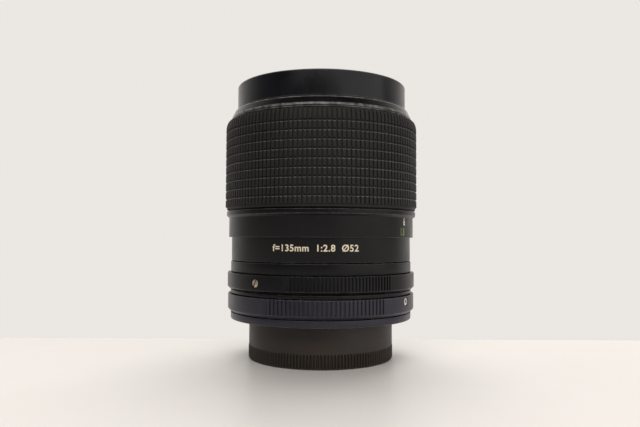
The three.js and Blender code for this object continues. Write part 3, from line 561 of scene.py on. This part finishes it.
def thread_points(radius, depth, low, high, pitch, turn, samples=8):
    """Points up the flank of a screw thread where it crosses one azimuth, turn being the share of a turn."""
    points = []
    steps = round((high - low) / pitch * samples)
    for k in range(steps + 1):
        height = low + (high - low) * k / steps
        phase = (height / pitch - turn) % 1
        points.append((radius - depth * abs(2 * phase - 1), height, 0))
    return points


def rear_cap():
    """A moulded cap: ribbed foot, smooth wall, female thread inside and a shallow groove in its base."""
    outer, base, top = span("rear_cap")
    wall, bore, floor = outer - 0.1, outer - 3.3, 1.8
    rib_top, rib_depth, arch = 4.7, 0.75, 0.5
    groove_inner, groove_outer, groove_slope, groove_depth = 15.0, 16.65, 0.25, 0.2

    def section(depth):
        foot = outer - rib_depth * depth
        crest = rib_top - arch * depth ** 0.7
        return soften([
            (0, base), (groove_inner, base), (groove_inner + groove_slope, base + groove_depth),
            (groove_outer - groove_slope, base + groove_depth), (groove_outer, base),
            (foot - 0.35, base, 0.1), (foot, base + 0.45, 0.25),
            (foot, crest - 0.25, 0.2), (min(foot + 0.02, wall - 0.12), crest, 0.05),
            (wall, rib_top + 0.12, 0.04), (wall, top, 0.3), (bore + 0.4, top), (bore, top - 0.5),
            (bore, floor, 0.4), (0, floor),
        ])

    piece("rear_cap_moulding", revolve(section, cap_ribs()), cap_plastic, "rear_cap")

    def thread(turn):
        low, high = floor + 1.6, top - 1.4
        ridge = thread_points(bore - 0.14, -0.28, low, high, CAP_THREAD_PITCH, turn)
        back = [(bore + 0.2, high, 0), (bore + 0.2, low, 0)]
        return soften(ridge + back)

    piece("rear_cap_thread", revolve(thread, threaded_turn(120)), cap_plastic, body="cap")


def mount_screw(mesh, node, slot_turn):
    """Sinks a slotted screw in a mesh, makes the screw, and gives back the mesh."""
    low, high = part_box(node)
    azimuth, distance, _ = middle(node)
    head, bottom, tip = (high.x - low.x) / 2 / MM, low.z / MM, high.z / MM
    head_height, shank, seat_height, gap = 1.2, 0.9, 1.35, 0.1
    slot_width, slot_depth = 0.5, 1.1
    mesh = carve(mesh, upright(head + 0.12, bottom - 1, bottom + seat_height, azimuth, distance, sides=40))
    mesh = carve(mesh, upright(shank + gap, bottom, tip, azimuth, distance, sides=24))
    outline = soften([
        (0, bottom), (head, bottom, 0.25), (head, bottom + head_height), (shank, bottom + head_height),
        (shank, tip, 0.3), (0, tip),
    ], bevel=0.08)
    screw = revolve(lambda depth: outline, plain_turn(FINE_TURN_STEP))
    screw = carve(screw, bar(head * 2.2, slot_width, slot_depth, turn=slot_turn, lift=bottom))
    screw.transform(Matrix.Translation(outward(azimuth) * distance * MM))
    piece(f"{node}_slotted", screw, steel, node)
    return mesh


def mount_flange():
    """The flange with its male mounting thread and three screws sunk in its rear face."""
    outer, spigot_bottom, top = span("mount_flange")
    face, relief = MOUNTS["camera_flange_face"]["pos_m"][2] / MM, 0.2
    thread_radius, thread_root, bore, hub = 21.0, 0.55, 19.4, 24.5
    plate, relief_radius, pitch = top - 0.5, 24.9, 1.0
    root = thread_radius - thread_root

    def section(turn):
        ridge = thread_points(thread_radius, thread_root, spigot_bottom + 0.5, face - 0.4, pitch, turn)
        return soften([
            (bore, spigot_bottom), (root, spigot_bottom), *ridge, (root, face + relief, 0.05),
            (relief_radius, face + relief, 0.05), (relief_radius, face, 0.1),
            (outer, face, 0.3), (outer, top, 0.12), (hub, top), (hub, plate), (bore, plate),
        ])

    mesh = revolve(section, threaded_turn(240))
    for number in (1, 2, 3):
        mesh = mount_screw(mesh, f"mount_screw_{number}", 25 * number)
    piece("mount_flange_threaded", mesh, blue_black, "mount_flange")


def radial_screw(node):
    """Azimuth, height, head radius, inner end and outer end of a CAD screw that points at the lens axis."""
    azimuth, _, height = middle(node)
    low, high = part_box(node)
    return azimuth, height, (high.z - low.z) / 2 / MM, *reach(node, azimuth)


def mount_ring():
    """The clamp ring, ribbed over part of its turn, with its set screw."""
    outer, bottom, top = span("mount_ring")
    inner, chamfer, groove = 28.0, 1.0, 0.38

    def section(depth):
        ribs = outer - groove * depth
        return soften([
            (inner, bottom), (outer - chamfer, bottom, 0.1), (outer, bottom + chamfer, 0.1),
            (outer, bottom + chamfer + 0.12, 0.03), (ribs, bottom + chamfer + 0.2, 0.03),
            (ribs, top - 0.15, 0.1), (ribs - 0.1, top, 0.05), (inner, top),
        ])

    shape = [(0.0, 1.0), (0.4, 1.0), (0.4 + RIB_WALL, 0.1), (0.52, 0.0), (0.88, 0.0), (1 - RIB_WALL, 0.1)]
    mesh = revolve(section, ribbed(*MOUNT_RING_RIBS, shape))
    node = "mount_ring_screw"
    azimuth, height, radius, inside, outside = radial_screw(node)
    seat = upright(radius + 0.1, inside - 0.3, outer + 1, sides=40)
    mesh = carve(mesh, laid_radially(seat, azimuth, height))
    piece("mount_ring_ribbed", mesh, blue_black, "mount_ring")
    head, socket_radius, socket_depth = outside - 0.02, 0.58, 0.9
    outline = soften([(0, inside), (radius, inside), (radius, head, 0.3), (0, head)])
    socket = upright(socket_radius, outside - socket_depth, outside + 1, sides=6)
    screw = carve(revolve(lambda depth: outline, plain_turn(FINE_TURN_STEP)), socket)
    piece("mount_ring_screw_socketed", laid_radially(screw, azimuth, height), nickel, node)


HOUSING_WALL = 27.6                   # middle of the wall inside the aperture ring
FORK_WINDOW = {"top": 28.15, "lead": 1.4, "step": 1.95, "cuts": 24, "cut_width": 4.6}
HOUSING_HOLES = {"detent_ball": 0.9, "detent_spring_screw": 0.72, "guide_key_screw": 1.0}    # radii
HOLES_INNER, HOLES_OUTER = 26, 29.5   # the holes' ends, clear of the wall on both sides


def rear_housing():
    """The housing's visible neck and the wall inside the aperture ring, with the window for the fork."""
    node = "rear_housing"
    outline = soften(cad_outline(node, azimuth=129.375), bevel=0.12)
    mesh = revolve(lambda depth: outline)
    azimuth, _, _ = middle("aperture_fork")
    fork_low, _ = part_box("aperture_fork")
    bottom, top = fork_low.z / MM - 0.25, FORK_WINDOW["top"]
    for cut in range(FORK_WINDOW["cuts"]):
        cutter = bar(FORK_WINDOW["cut_width"], 5, top - bottom, lift=(top + bottom) / 2)
        at = azimuth - FORK_WINDOW["lead"] + cut * FORK_WINDOW["step"]
        turn = Matrix.Rotation(math.radians(at), 4, "Z")
        cutter.transform(turn @ Matrix.Translation((0, -HOUSING_WALL * MM, 0)))
        mesh = carve(mesh, cutter)
    for other, radius in HOUSING_HOLES.items():
        azimuth, _, height = middle(other)
        mesh = carve(mesh, laid_radially(upright(radius, HOLES_INNER, HOLES_OUTER), azimuth, height))
    piece("rear_housing_turned", mesh, satin_black, node)


# ------------------------------------------------------------------ aperture ring

APERTURE_RIBS = (174, -20, 45)        # as MOUNT_RING_RIBS


def aperture_ring():
    """The aperture ring, finely ribbed over part of its turn, with its slotted screw and click notches."""
    outer, bottom, top = span("aperture_ring")
    inner, chamfer, groove, rim = 28.6, 0.85, 0.34, 0.16
    rim_radius = outer - 0.06

    def section(depth):
        ribs = outer - groove * depth
        return soften([
            (inner, bottom), (outer - chamfer, bottom, 0.1), (outer, bottom + chamfer, 0.1),
            (outer, bottom + chamfer + 0.1, 0.03), (ribs, bottom + chamfer + 0.16, 0.03),
            (ribs, top - rim - 0.1, 0.03), (rim_radius, top - rim, 0.03), (rim_radius, top - 0.02, 0.1),
            (inner, top),
        ])

    shape = [(0.0, 1.0), (0.38, 1.0), (0.38 + RIB_WALL, 0.12), (0.5, 0.0), (0.88, 0.0), (1 - RIB_WALL, 0.12)]
    mesh = revolve(section, ribbed(*APERTURE_RIBS, shape))
    node = "aperture_ring_screw"
    azimuth, height, radius, inside, outside = radial_screw(node)
    seat, shank, notch_radius = 29.7, 0.75, 0.9
    head_hole = upright(radius + 0.12, seat - 0.1, outer + 1, sides=40)
    mesh = carve(mesh, laid_radially(head_hole, azimuth, height))
    mesh = carve(mesh, laid_radially(upright(shank + 0.12, inner - 1, outer, sides=24), azimuth, height))
    for stop in range(len(STOPS)):
        notch = INDEX_AZIMUTH - stop * STOP_AZIMUTH_STEP
        mesh = carve(mesh, upright(notch_radius, bottom - 1, top - 1, notch, inner, sides=16))
    piece("aperture_ring_ribbed", mesh, satin_black, "aperture_ring")
    outline = soften([
        (0, inside), (shank, inside), (shank, seat), (radius, seat), (radius, outside, 0.35),
        (0, outside + 0.06),
    ])
    slot_length, slot_width, slot_depth, slot_turn = 4, 0.42, 1.0, 62
    slot = bar(slot_length, slot_width, slot_depth, turn=slot_turn, lift=outside)
    screw = carve(revolve(lambda depth: outline, plain_turn(FINE_TURN_STEP)), slot)
    piece("aperture_ring_screw_slotted", laid_radially(screw, azimuth, height), bronze, node)


# ------------------------------------------------------------------ grip, trim and hood

GRIP_COLUMNS = 140
GRIP_ROWS = 9
ROW_PITCH = 2.82


def grip():
    """The moulded rubber sleeve: rows of small upright blocks, the last row running up over the shoulder."""
    outer, bottom, top = span("rubber_grip")
    inner, floor_depth, gap, first = outer - 0.8, 0.46, 0.42, bottom + 0.6
    shoulder, shoulder_radius = top - 2.1, outer - 0.55
    # The upper edge of each block takes the dust and painted highlight colour, standing for light from above;
    # the lower edge takes none.
    slope, bevel, no_painted_highlight = 0.08, 0.16, 0.0

    def section(depth):
        floor = outer - floor_depth
        face = outer - floor_depth * depth
        points = [(inner, bottom, 0), (floor - 0.1, bottom, 0), (floor, bottom + 0.1, 0)]
        for row in range(GRIP_ROWS):
            start = first + row * ROW_PITCH + gap / 2
            stop = start + ROW_PITCH - gap
            points += [(floor, start, 0), (face, start + slope, bevel, no_painted_highlight)]
            points += [(face, stop - slope), (floor, stop, 0)]
        start = first + GRIP_ROWS * ROW_PITCH + gap / 2
        points += [(floor, start, 0), (face, start + slope, bevel, no_painted_highlight)]
        corner = Vector((face, shoulder + 0.9))
        over = Vector((shoulder_radius - floor_depth * depth, top - 0.25))
        for k in range(6):
            rounded = curve_point(Vector((face, shoulder - 0.7)), corner, over, k / 5)
            points.append((rounded.x, rounded.y, 0))
        points += [(shoulder_radius - 0.6, top, 0), (inner, top, 0)]
        return soften(points, bevel, steps=2)

    shape = [(0.0, 1.0), (0.24, 1.0), (0.30, 0.12), (0.37, 0.0), (0.88, 0.0), (0.95, 0.12)]
    blocks = revolve(section, ribbed(GRIP_COLUMNS, 0, 360, shape))
    piece("rubber_grip_blocks", blocks, grip_rubber, "rubber_grip")


def trim_ring():
    """The turned cone in front of the grip, with a painted highlight on the bevel above the rubber."""
    node = "grip_trim_ring"
    outline = soften(cad_outline(node), bevel=0.5, steps=6)
    piece("grip_trim_cone", revolve(lambda depth: outline), trim_black, node)


def sliding_hood():
    """The hood: a smooth tube with a thin rim, and fine anti-glare grooves inside."""
    outer, bottom, top = span("sliding_hood")
    tube, inner, shoulder, groove = outer - 0.24, outer - 0.94, top - 8.2, 0.16
    grooves = []
    count, pitch = 26, 0.8
    for k in range(count):
        height = top - 2.0 - k * pitch
        grooves += [(inner, height, 0), (inner + groove, height - 0.12, 0), (inner + groove, height - 0.4, 0)]
    outline = soften([
        (inner, bottom), (tube, bottom), (tube, shoulder - 0.25), (outer - 0.05, shoulder - 0.1, 0.05),
        (outer, shoulder + 0.2), (outer, top - 0.35, 0.1), (outer - 0.3, top, 0.1), (inner + 0.05, top, 0.1),
        (inner, top - 0.3, 0.05), *grooves,
    ])
    piece("sliding_hood_tube", revolve(lambda depth: outline), hood_black, "sliding_hood")


# ------------------------------------------------------------------ filter ring, glass and rear parts

PIN_RADIUS = 1.0


def filter_ring():
    """The ring that takes a filter, with its female thread."""
    outer, bottom, top = span("filter_ring")
    inner, thread, depth, thread_bottom, pitch = 25.4, 26.0, 0.35, 86.6, 0.75

    def section(turn):
        ridge = thread_points(thread, -depth, thread_bottom + 0.15, top - 0.3, pitch, turn)
        return soften([
            (inner, bottom), (outer, bottom), (outer, top, 0.15), (thread + depth, top, 0.08),
            *reversed(ridge), (thread, thread_bottom, 0.05), (inner, thread_bottom),
        ])

    piece("filter_ring_threaded", revolve(section, threaded_turn(180)), satin_black, "filter_ring")


def glass_element(node, material):
    """A lens element with true spherical faces and a bevelled rim."""
    outline = cad_outline(node)
    radius = max(p.x for p in outline)
    rim = sorted(p.y for p in outline if p.x > radius - 0.01)
    axis = sorted(p.y for p in outline if p.x < 0.01)
    steps = 28

    def face(rim_height, axis_height):
        rise = axis_height - rim_height
        curvature = (radius ** 2 + rise ** 2) / (2 * abs(rise))
        points = []
        for k in range(steps + 1):
            distance = radius * k / steps
            fall = curvature - math.sqrt(curvature ** 2 - distance ** 2)
            points.append((distance, axis_height - math.copysign(fall, rise), 0))
        return points

    below, above = face(rim[0], axis[0]), face(rim[-1], axis[-1])
    section = soften(below[:-1] + [(radius, rim[0], 0.15), (radius, rim[-1], 0.15)] + above[-2::-1])
    piece(node + "_polished", revolve(lambda depth: section), material, node)


def stop_down_pin():
    """The plunger that the camera presses, with its collar."""
    node = "stop_down_pin"
    low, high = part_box(node)
    azimuth, distance, _ = middle(node)
    bottom, tip = low.z / MM, high.z / MM
    collar_bottom, collar_top, collar, radius = tip - 3.6, tip - 2.6, 1.7, PIN_RADIUS
    outline = soften([
        (0, bottom), (radius, bottom, 0.45), (radius, collar_bottom), (collar, collar_bottom),
        (collar, collar_top), (radius, collar_top), (radius, tip, 0.2), (0, tip),
    ])
    pin = revolve(lambda depth: outline, plain_turn(FINE_TURN_STEP))
    pin.transform(Matrix.Translation(outward(azimuth) * distance * MM))
    piece("stop_down_pin_polished", pin, nickel, node)


def rear_baffle():
    """The light baffle behind the glass, with the hole that the plunger passes through."""
    node, clearance, hole_bottom, hole_top = "rear_baffle", 0.3, 5, 21
    azimuth, distance, _ = middle("stop_down_pin")
    hole = upright(PIN_RADIUS + clearance, hole_bottom, hole_top, azimuth, distance)
    outline = soften(cad_outline(node, azimuth=95.625), bevel=0.14)
    piece("rear_baffle_turned", carve(revolve(lambda depth: outline), hole), inner_black, node)


def coil_mesh(mean, wire, bottom, top, coils, rings=160, sides=10):
    """A closed wire wound about the Z axis, from bottom to top."""
    vertices, faces = [], []
    for k in range(rings + 1):
        turn = coils * 2 * math.pi * k / rings
        out = Vector((math.cos(turn), math.sin(turn), 0))
        lift = bottom + (top - bottom) * k / rings
        for side in range(sides):
            angle = 2 * math.pi * side / sides
            ring_out = out * (mean + wire * math.cos(angle))
            vertices.append(Vector((ring_out.x, ring_out.y, lift + wire * math.sin(angle))) * MM)
    for k in range(rings):
        for side in range(sides):
            a, b = k * sides + side, k * sides + (side + 1) % sides
            faces.append((a, b, b + sides, a + sides))
    faces += [tuple(range(sides)), tuple(rings * sides + side for side in range(sides))]
    return finished_mesh(vertices, faces)


def plunger_spring():
    """The wound return spring, made as a fixed coil; in the lens the plunger shortens it as it goes in."""
    spring, wire = "plunger_spring", 0.2
    low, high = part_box(spring)
    azimuth, distance, _ = middle("stop_down_pin")
    mean = (high.x - low.x) / 2 / MM - wire
    coil = coil_mesh(mean, wire, low.z / MM + wire, high.z / MM - wire, coils=5)
    coil.transform(Matrix.Translation(outward(azimuth) * distance * MM))
    coil_piece = piece("plunger_coil_spring", coil, steel, spring)
    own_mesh(coil_piece)


# ------------------------------------------------------------------ scales and lettering

PAINT_STANDS_OUT = 0.016
PAINT_SINKS = 0.06
FEET_MARKS = (6, 7, 8, 10, 12, 15, 20, 30, 50)
METRE_MARKS = (1.8, 2, 2.5, 3, 4, 5, 7, 10, 20)
SKIRT_RADIUS = 31.73                  # the smooth part of the focus ring
FEET_HEIGHT = 46.05
METRE_HEIGHT = 42.85
DATA_HEIGHT = 37.7
DATA_AZIMUTH = -3.4
DATA_TEXT = "f=135mm  1:2.8  Ø52"
DEPTH_SPREAD = 0.3                    # degrees to each side of the index for each whole stop number


def glyph_height():
    """Height of a digit in the built-in font at size 1."""
    outline = glyph_mesh("0")
    heights = [v.co.y for v in outline.vertices]
    return max(heights) - min(heights)


def glyph_mesh(text, bold=0.0, spacing=1.0):
    """Solid letters at size 1, centred on X and standing on it, with their depth along Z."""
    curve = bpy.data.curves.new("glyphs", "FONT")
    curve.body = text
    curve.size = 1
    curve.extrude = 0.5
    curve.offset = bold
    curve.space_character = spacing
    curve.align_x = "CENTER"
    curve.resolution_u = 4
    holder = bpy.data.objects.new("glyphs", curve)
    bpy.context.scene.collection.objects.link(holder)
    mesh = evaluated_mesh(holder)
    bpy.data.objects.remove(holder)
    return mesh


def flat_text(text, size, squeeze, bold):
    """Points and faces of a text laid flat about its middle, with digits of a size in millimetres."""
    digit = glyph_height()
    mesh = glyph_mesh("8" if text == INFINITY else text, bold, 1.08)
    if text == INFINITY:
        lying = Matrix.Rotation(math.radians(90), 4, "Z") @ Matrix.Translation((0, -digit / 2, 0))
        unsqueezed = Matrix.Diagonal((1 / squeeze, squeeze, 1, 1))
        mesh.transform(unsqueezed @ Matrix.Translation((0, digit / 2 / squeeze, 0)) @ lying)
    scale = size / digit
    points = [(v.co.x * scale * squeeze, v.co.y * scale - size / 2, v.co.z) for v in mesh.vertices]
    return points, [tuple(p.vertices) for p in mesh.polygons]


def flat_stroke(width, tall):
    """Points and faces of a plain rectangular stroke."""
    corners = ((-1, -1), (1, -1), (1, 1), (-1, 1))
    points = [(x * width / 2, y * tall / 2, z) for z in (-1, 1) for x, y in corners]
    sides = [(i, (i + 1) % 4, (i + 1) % 4 + 4, i + 4) for i in range(4)]
    return points, [(3, 2, 1, 0), (4, 5, 6, 7), *sides]


def engraved(name, body, material, radius, marks, squeeze=0.62, bold=0.02):
    """Painted marks on a cylinder, as one piece. A mark is a text or a (width, height) stroke, with its
    size, azimuth and height. The size is not used for a stroke."""
    vertices, faces = [], []
    for what, size, azimuth, height in marks:
        is_text = isinstance(what, str)
        flat, polygons = flat_text(what, size, squeeze, bold) if is_text else flat_stroke(*what)
        start = len(vertices)
        for x, y, z in flat:
            depth = PAINT_STANDS_OUT if z > 0 else -PAINT_SINKS
            out = outward(azimuth + math.degrees(x / radius)) * (radius + depth)
            vertices.append(Vector((out.x, out.y, height + y)) * MM)
        faces += [tuple(start + i for i in polygon) for polygon in polygons]
    return piece(name, finished_mesh(vertices, faces), material, body=body)


def focus_azimuth(distance):
    """Where a distance in millimetres stands on the focus ring when the lens is set to infinity."""
    image = (distance - math.sqrt(distance ** 2 - 4 * distance * FOCAL_LENGTH)) / 2
    return INDEX_AZIMUTH - DEGREES_PER_MM * (image - FOCAL_LENGTH)


def distance_scales():
    """Distances in feet and in metres on the skirt of the focus ring."""
    digit = 2.5
    feet = [(str(d), digit, focus_azimuth(d * FEET), FEET_HEIGHT) for d in FEET_MARKS]
    feet.append((INFINITY, digit, INDEX_AZIMUTH, FEET_HEIGHT))
    metres = [(f"{d:g}", digit, focus_azimuth(d * 1000), METRE_HEIGHT) for d in METRE_MARKS]
    engraved("distance_scale_feet", "focus_group", cream_paint, SKIRT_RADIUS, feet)
    engraved("distance_scale_metres", "focus_group", green_paint, SKIRT_RADIUS, metres)


def barrel_marks():
    """The line of generic lens data, and the depth-of-field scale with the focus index."""
    barrel, _, _ = span("main_barrel")
    data = [(DATA_TEXT, 2.0, DATA_AZIMUTH, DATA_HEIGHT)]
    engraved("barrel_data_lettering", "barrel", cream_paint, barrel, data, squeeze=1.0)

    ring, low, high = span("depth_scale_ring")
    marks = [((0.35, 2.6), 0, INDEX_AZIMUTH, (low + high) / 2)]
    for stop in (8, 16, 22):
        for side in (-1, 1):
            at = INDEX_AZIMUTH + side * DEPTH_SPREAD * stop
            marks.append(((0.2, 1.0), 0, at, high - 0.8))
            if stop != 16:            # which has no room between its neighbours
                marks.append((str(stop), 0.95, at, low + 1.0))
    engraved("depth_scale_marks", "barrel", cream_paint, ring, marks, squeeze=0.6)


def ring_marks():
    """The aperture numerals with their ticks, and the red mark on the clamp ring."""
    aperture, low, high = span("aperture_ring")
    places = [INDEX_AZIMUTH - k * STOP_AZIMUTH_STEP for k in range(len(STOPS))]
    marks = [(text, 2.0, at, (low + high) / 2 - 0.1) for text, at in zip(STOPS, places)]
    marks += [((0.25, 0.8), 0, at, high - 0.75) for at in places]
    engraved("aperture_numerals", "aperture_group", cream_paint, aperture, marks)

    collar, low, high = span("mount_ring")
    index = [((0.5, 2.4), 0, INDEX_AZIMUTH, (low + high) / 2 + 0.4)]
    engraved("mount_index_mark", "mount_collar", red_paint, collar, index)


# ------------------------------------------------------------------ set, light and camera


def table():
    """A pale table top whose far edge is just behind the lens, as in the photograph."""
    width, front, back, thickness, bevel = 3.0, 1.5, 0.036, 0.03, 0.002
    work = bmesh.new()
    place = Matrix.Translation((0, (back - front) / 2, -thickness / 2))
    size = Matrix.Diagonal((width, back + front, thickness, 1))
    bmesh.ops.create_cube(work, size=1, matrix=place @ size)
    bmesh.ops.bevel(work, geom=work.edges[:], offset=bevel, segments=4, profile=0.5, affect="EDGES")
    mesh = bpy.data.meshes.new("table")
    work.to_mesh(mesh)
    work.free()
    mesh.shade_smooth()
    mesh.set_sharp_from_angle(angle=SHARP_ANGLE)
    obj = bpy.data.objects.new("table", mesh)
    bpy.context.scene.collection.objects.link(obj)
    f = Finish("pale_table", specular_ior_level=0.25)
    color = f.mix(f.remap(f.noise(60, 3), 0.3, 0.7), (0.84, 0.8, 0.76), (0.82, 0.78, 0.74))
    mesh.materials.append(f.finish(color, f.remap(f.noise(30, 3), 0.3, 0.7, 0.4, 0.48)))


LENS_MIDDLE = 0.045
BACKDROP = (0.83, 0.8, 0.765, 1)      # what the camera sees past the table
FRONT_OF_ROOM = (0.075, 0.075, 0.085, 1)
BACK_OF_ROOM = (0.95, 0.92, 0.88, 1)


def softbox(name, azimuth, distance, height, width, tall, power, color=(1, 1, 1)):
    """A rectangular light that faces the middle of the lens."""
    light = bpy.data.lights.new(name, "AREA")
    light.shape = "RECTANGLE"
    light.size = width
    light.size_y = tall
    light.energy = power
    light.color = color
    obj = bpy.data.objects.new(name, light)
    bpy.context.scene.collection.objects.link(obj)
    obj.location = outward(azimuth) * distance + Vector((0, 0, height))
    aim = Vector((0, 0, LENS_MIDDLE)) - obj.location
    obj.rotation_euler = aim.to_track_quat("-Z", "Y").to_euler()


def surroundings():
    """A room that gives light from behind the lens and little from the front, and shows the camera a
    plain backdrop."""
    world = bpy.data.worlds.new("room")
    world.use_nodes = True
    tree = world.node_tree
    background = tree.nodes["Background"]
    place = tree.nodes.new("ShaderNodeTexCoord")
    split = tree.nodes.new("ShaderNodeSeparateXYZ")
    ramp = tree.nodes.new("ShaderNodeValToRGB")
    shift = tree.nodes.new("ShaderNodeMapRange")
    seen = tree.nodes.new("ShaderNodeLightPath")
    choose = tree.nodes.new("ShaderNodeMix")
    choose.data_type = "RGBA"
    choose.inputs[7].default_value = BACKDROP
    shift.inputs["From Min"].default_value = -1.0
    tree.links.new(place.outputs["Generated"], split.inputs[0])
    tree.links.new(split.outputs["Y"], shift.inputs["Value"])
    tree.links.new(shift.outputs["Result"], ramp.inputs["Fac"])
    tree.links.new(seen.outputs["Is Camera Ray"], choose.inputs[0])
    tree.links.new(ramp.outputs["Color"], choose.inputs[6])
    tree.links.new(choose.outputs[2], background.inputs["Color"])
    front, back = ramp.color_ramp.elements
    front.position = 0.42
    front.color = FRONT_OF_ROOM
    back.position = 0.86
    back.color = BACK_OF_ROOM
    bpy.context.scene.world = world


def camera():
    """At the photograph's viewpoint: a little below the middle of the lens, looking up slightly."""
    distance, height, aside = 0.2124, 0.04076, -0.00035
    pitch, roll, focal = 2.29, 0.24, 34.16
    data = bpy.data.cameras.new("camera")
    data.sensor_width = 36.0
    data.lens = focal
    data.clip_start = 0.01
    obj = bpy.data.objects.new("camera", data)
    bpy.context.scene.collection.objects.link(obj)
    obj.matrix_world = (Matrix.Translation((aside, -distance, height))
                        @ Matrix.Rotation(math.radians(90 + pitch), 4, "X")
                        @ Matrix.Rotation(math.radians(roll), 4, "Z"))
    bpy.context.scene.camera = obj


# ------------------------------------------------------------------ assembly


for node, obj in frame["nodes"].items():
    obj.data.materials.clear()
    obj.data.materials.append(SLOT_FINISH[SLOT_OF[node]])

turned_pieces()
optics_barrel()
rear_cap()
mount_flange()
mount_ring()
rear_housing()
aperture_ring()
grip()
trim_ring()
sliding_hood()
filter_ring()
glass_element("front_element", front_glass)
for element in ("second_element", "third_element", "rear_element"):
    glass_element(element, inner_glass)
stop_down_pin()
rear_baffle()
plunger_spring()
distance_scales()
barrel_marks()
ring_marks()

table()
surroundings()
softbox("top_light", azimuth=170, distance=0.45, height=1.0, width=0.8, tall=0.8, power=6)
softbox("front_light", azimuth=-8, distance=0.7, height=0.68, width=0.9, tall=0.35, power=4.8,
        color=(1, 0.98, 0.95))
softbox("side_light", azimuth=55, distance=0.85, height=0.25, width=1.1, tall=0.7, power=3.0,
        color=(1, 0.97, 0.94))
camera()
bpy.context.scene.view_settings.view_transform = "Standard"
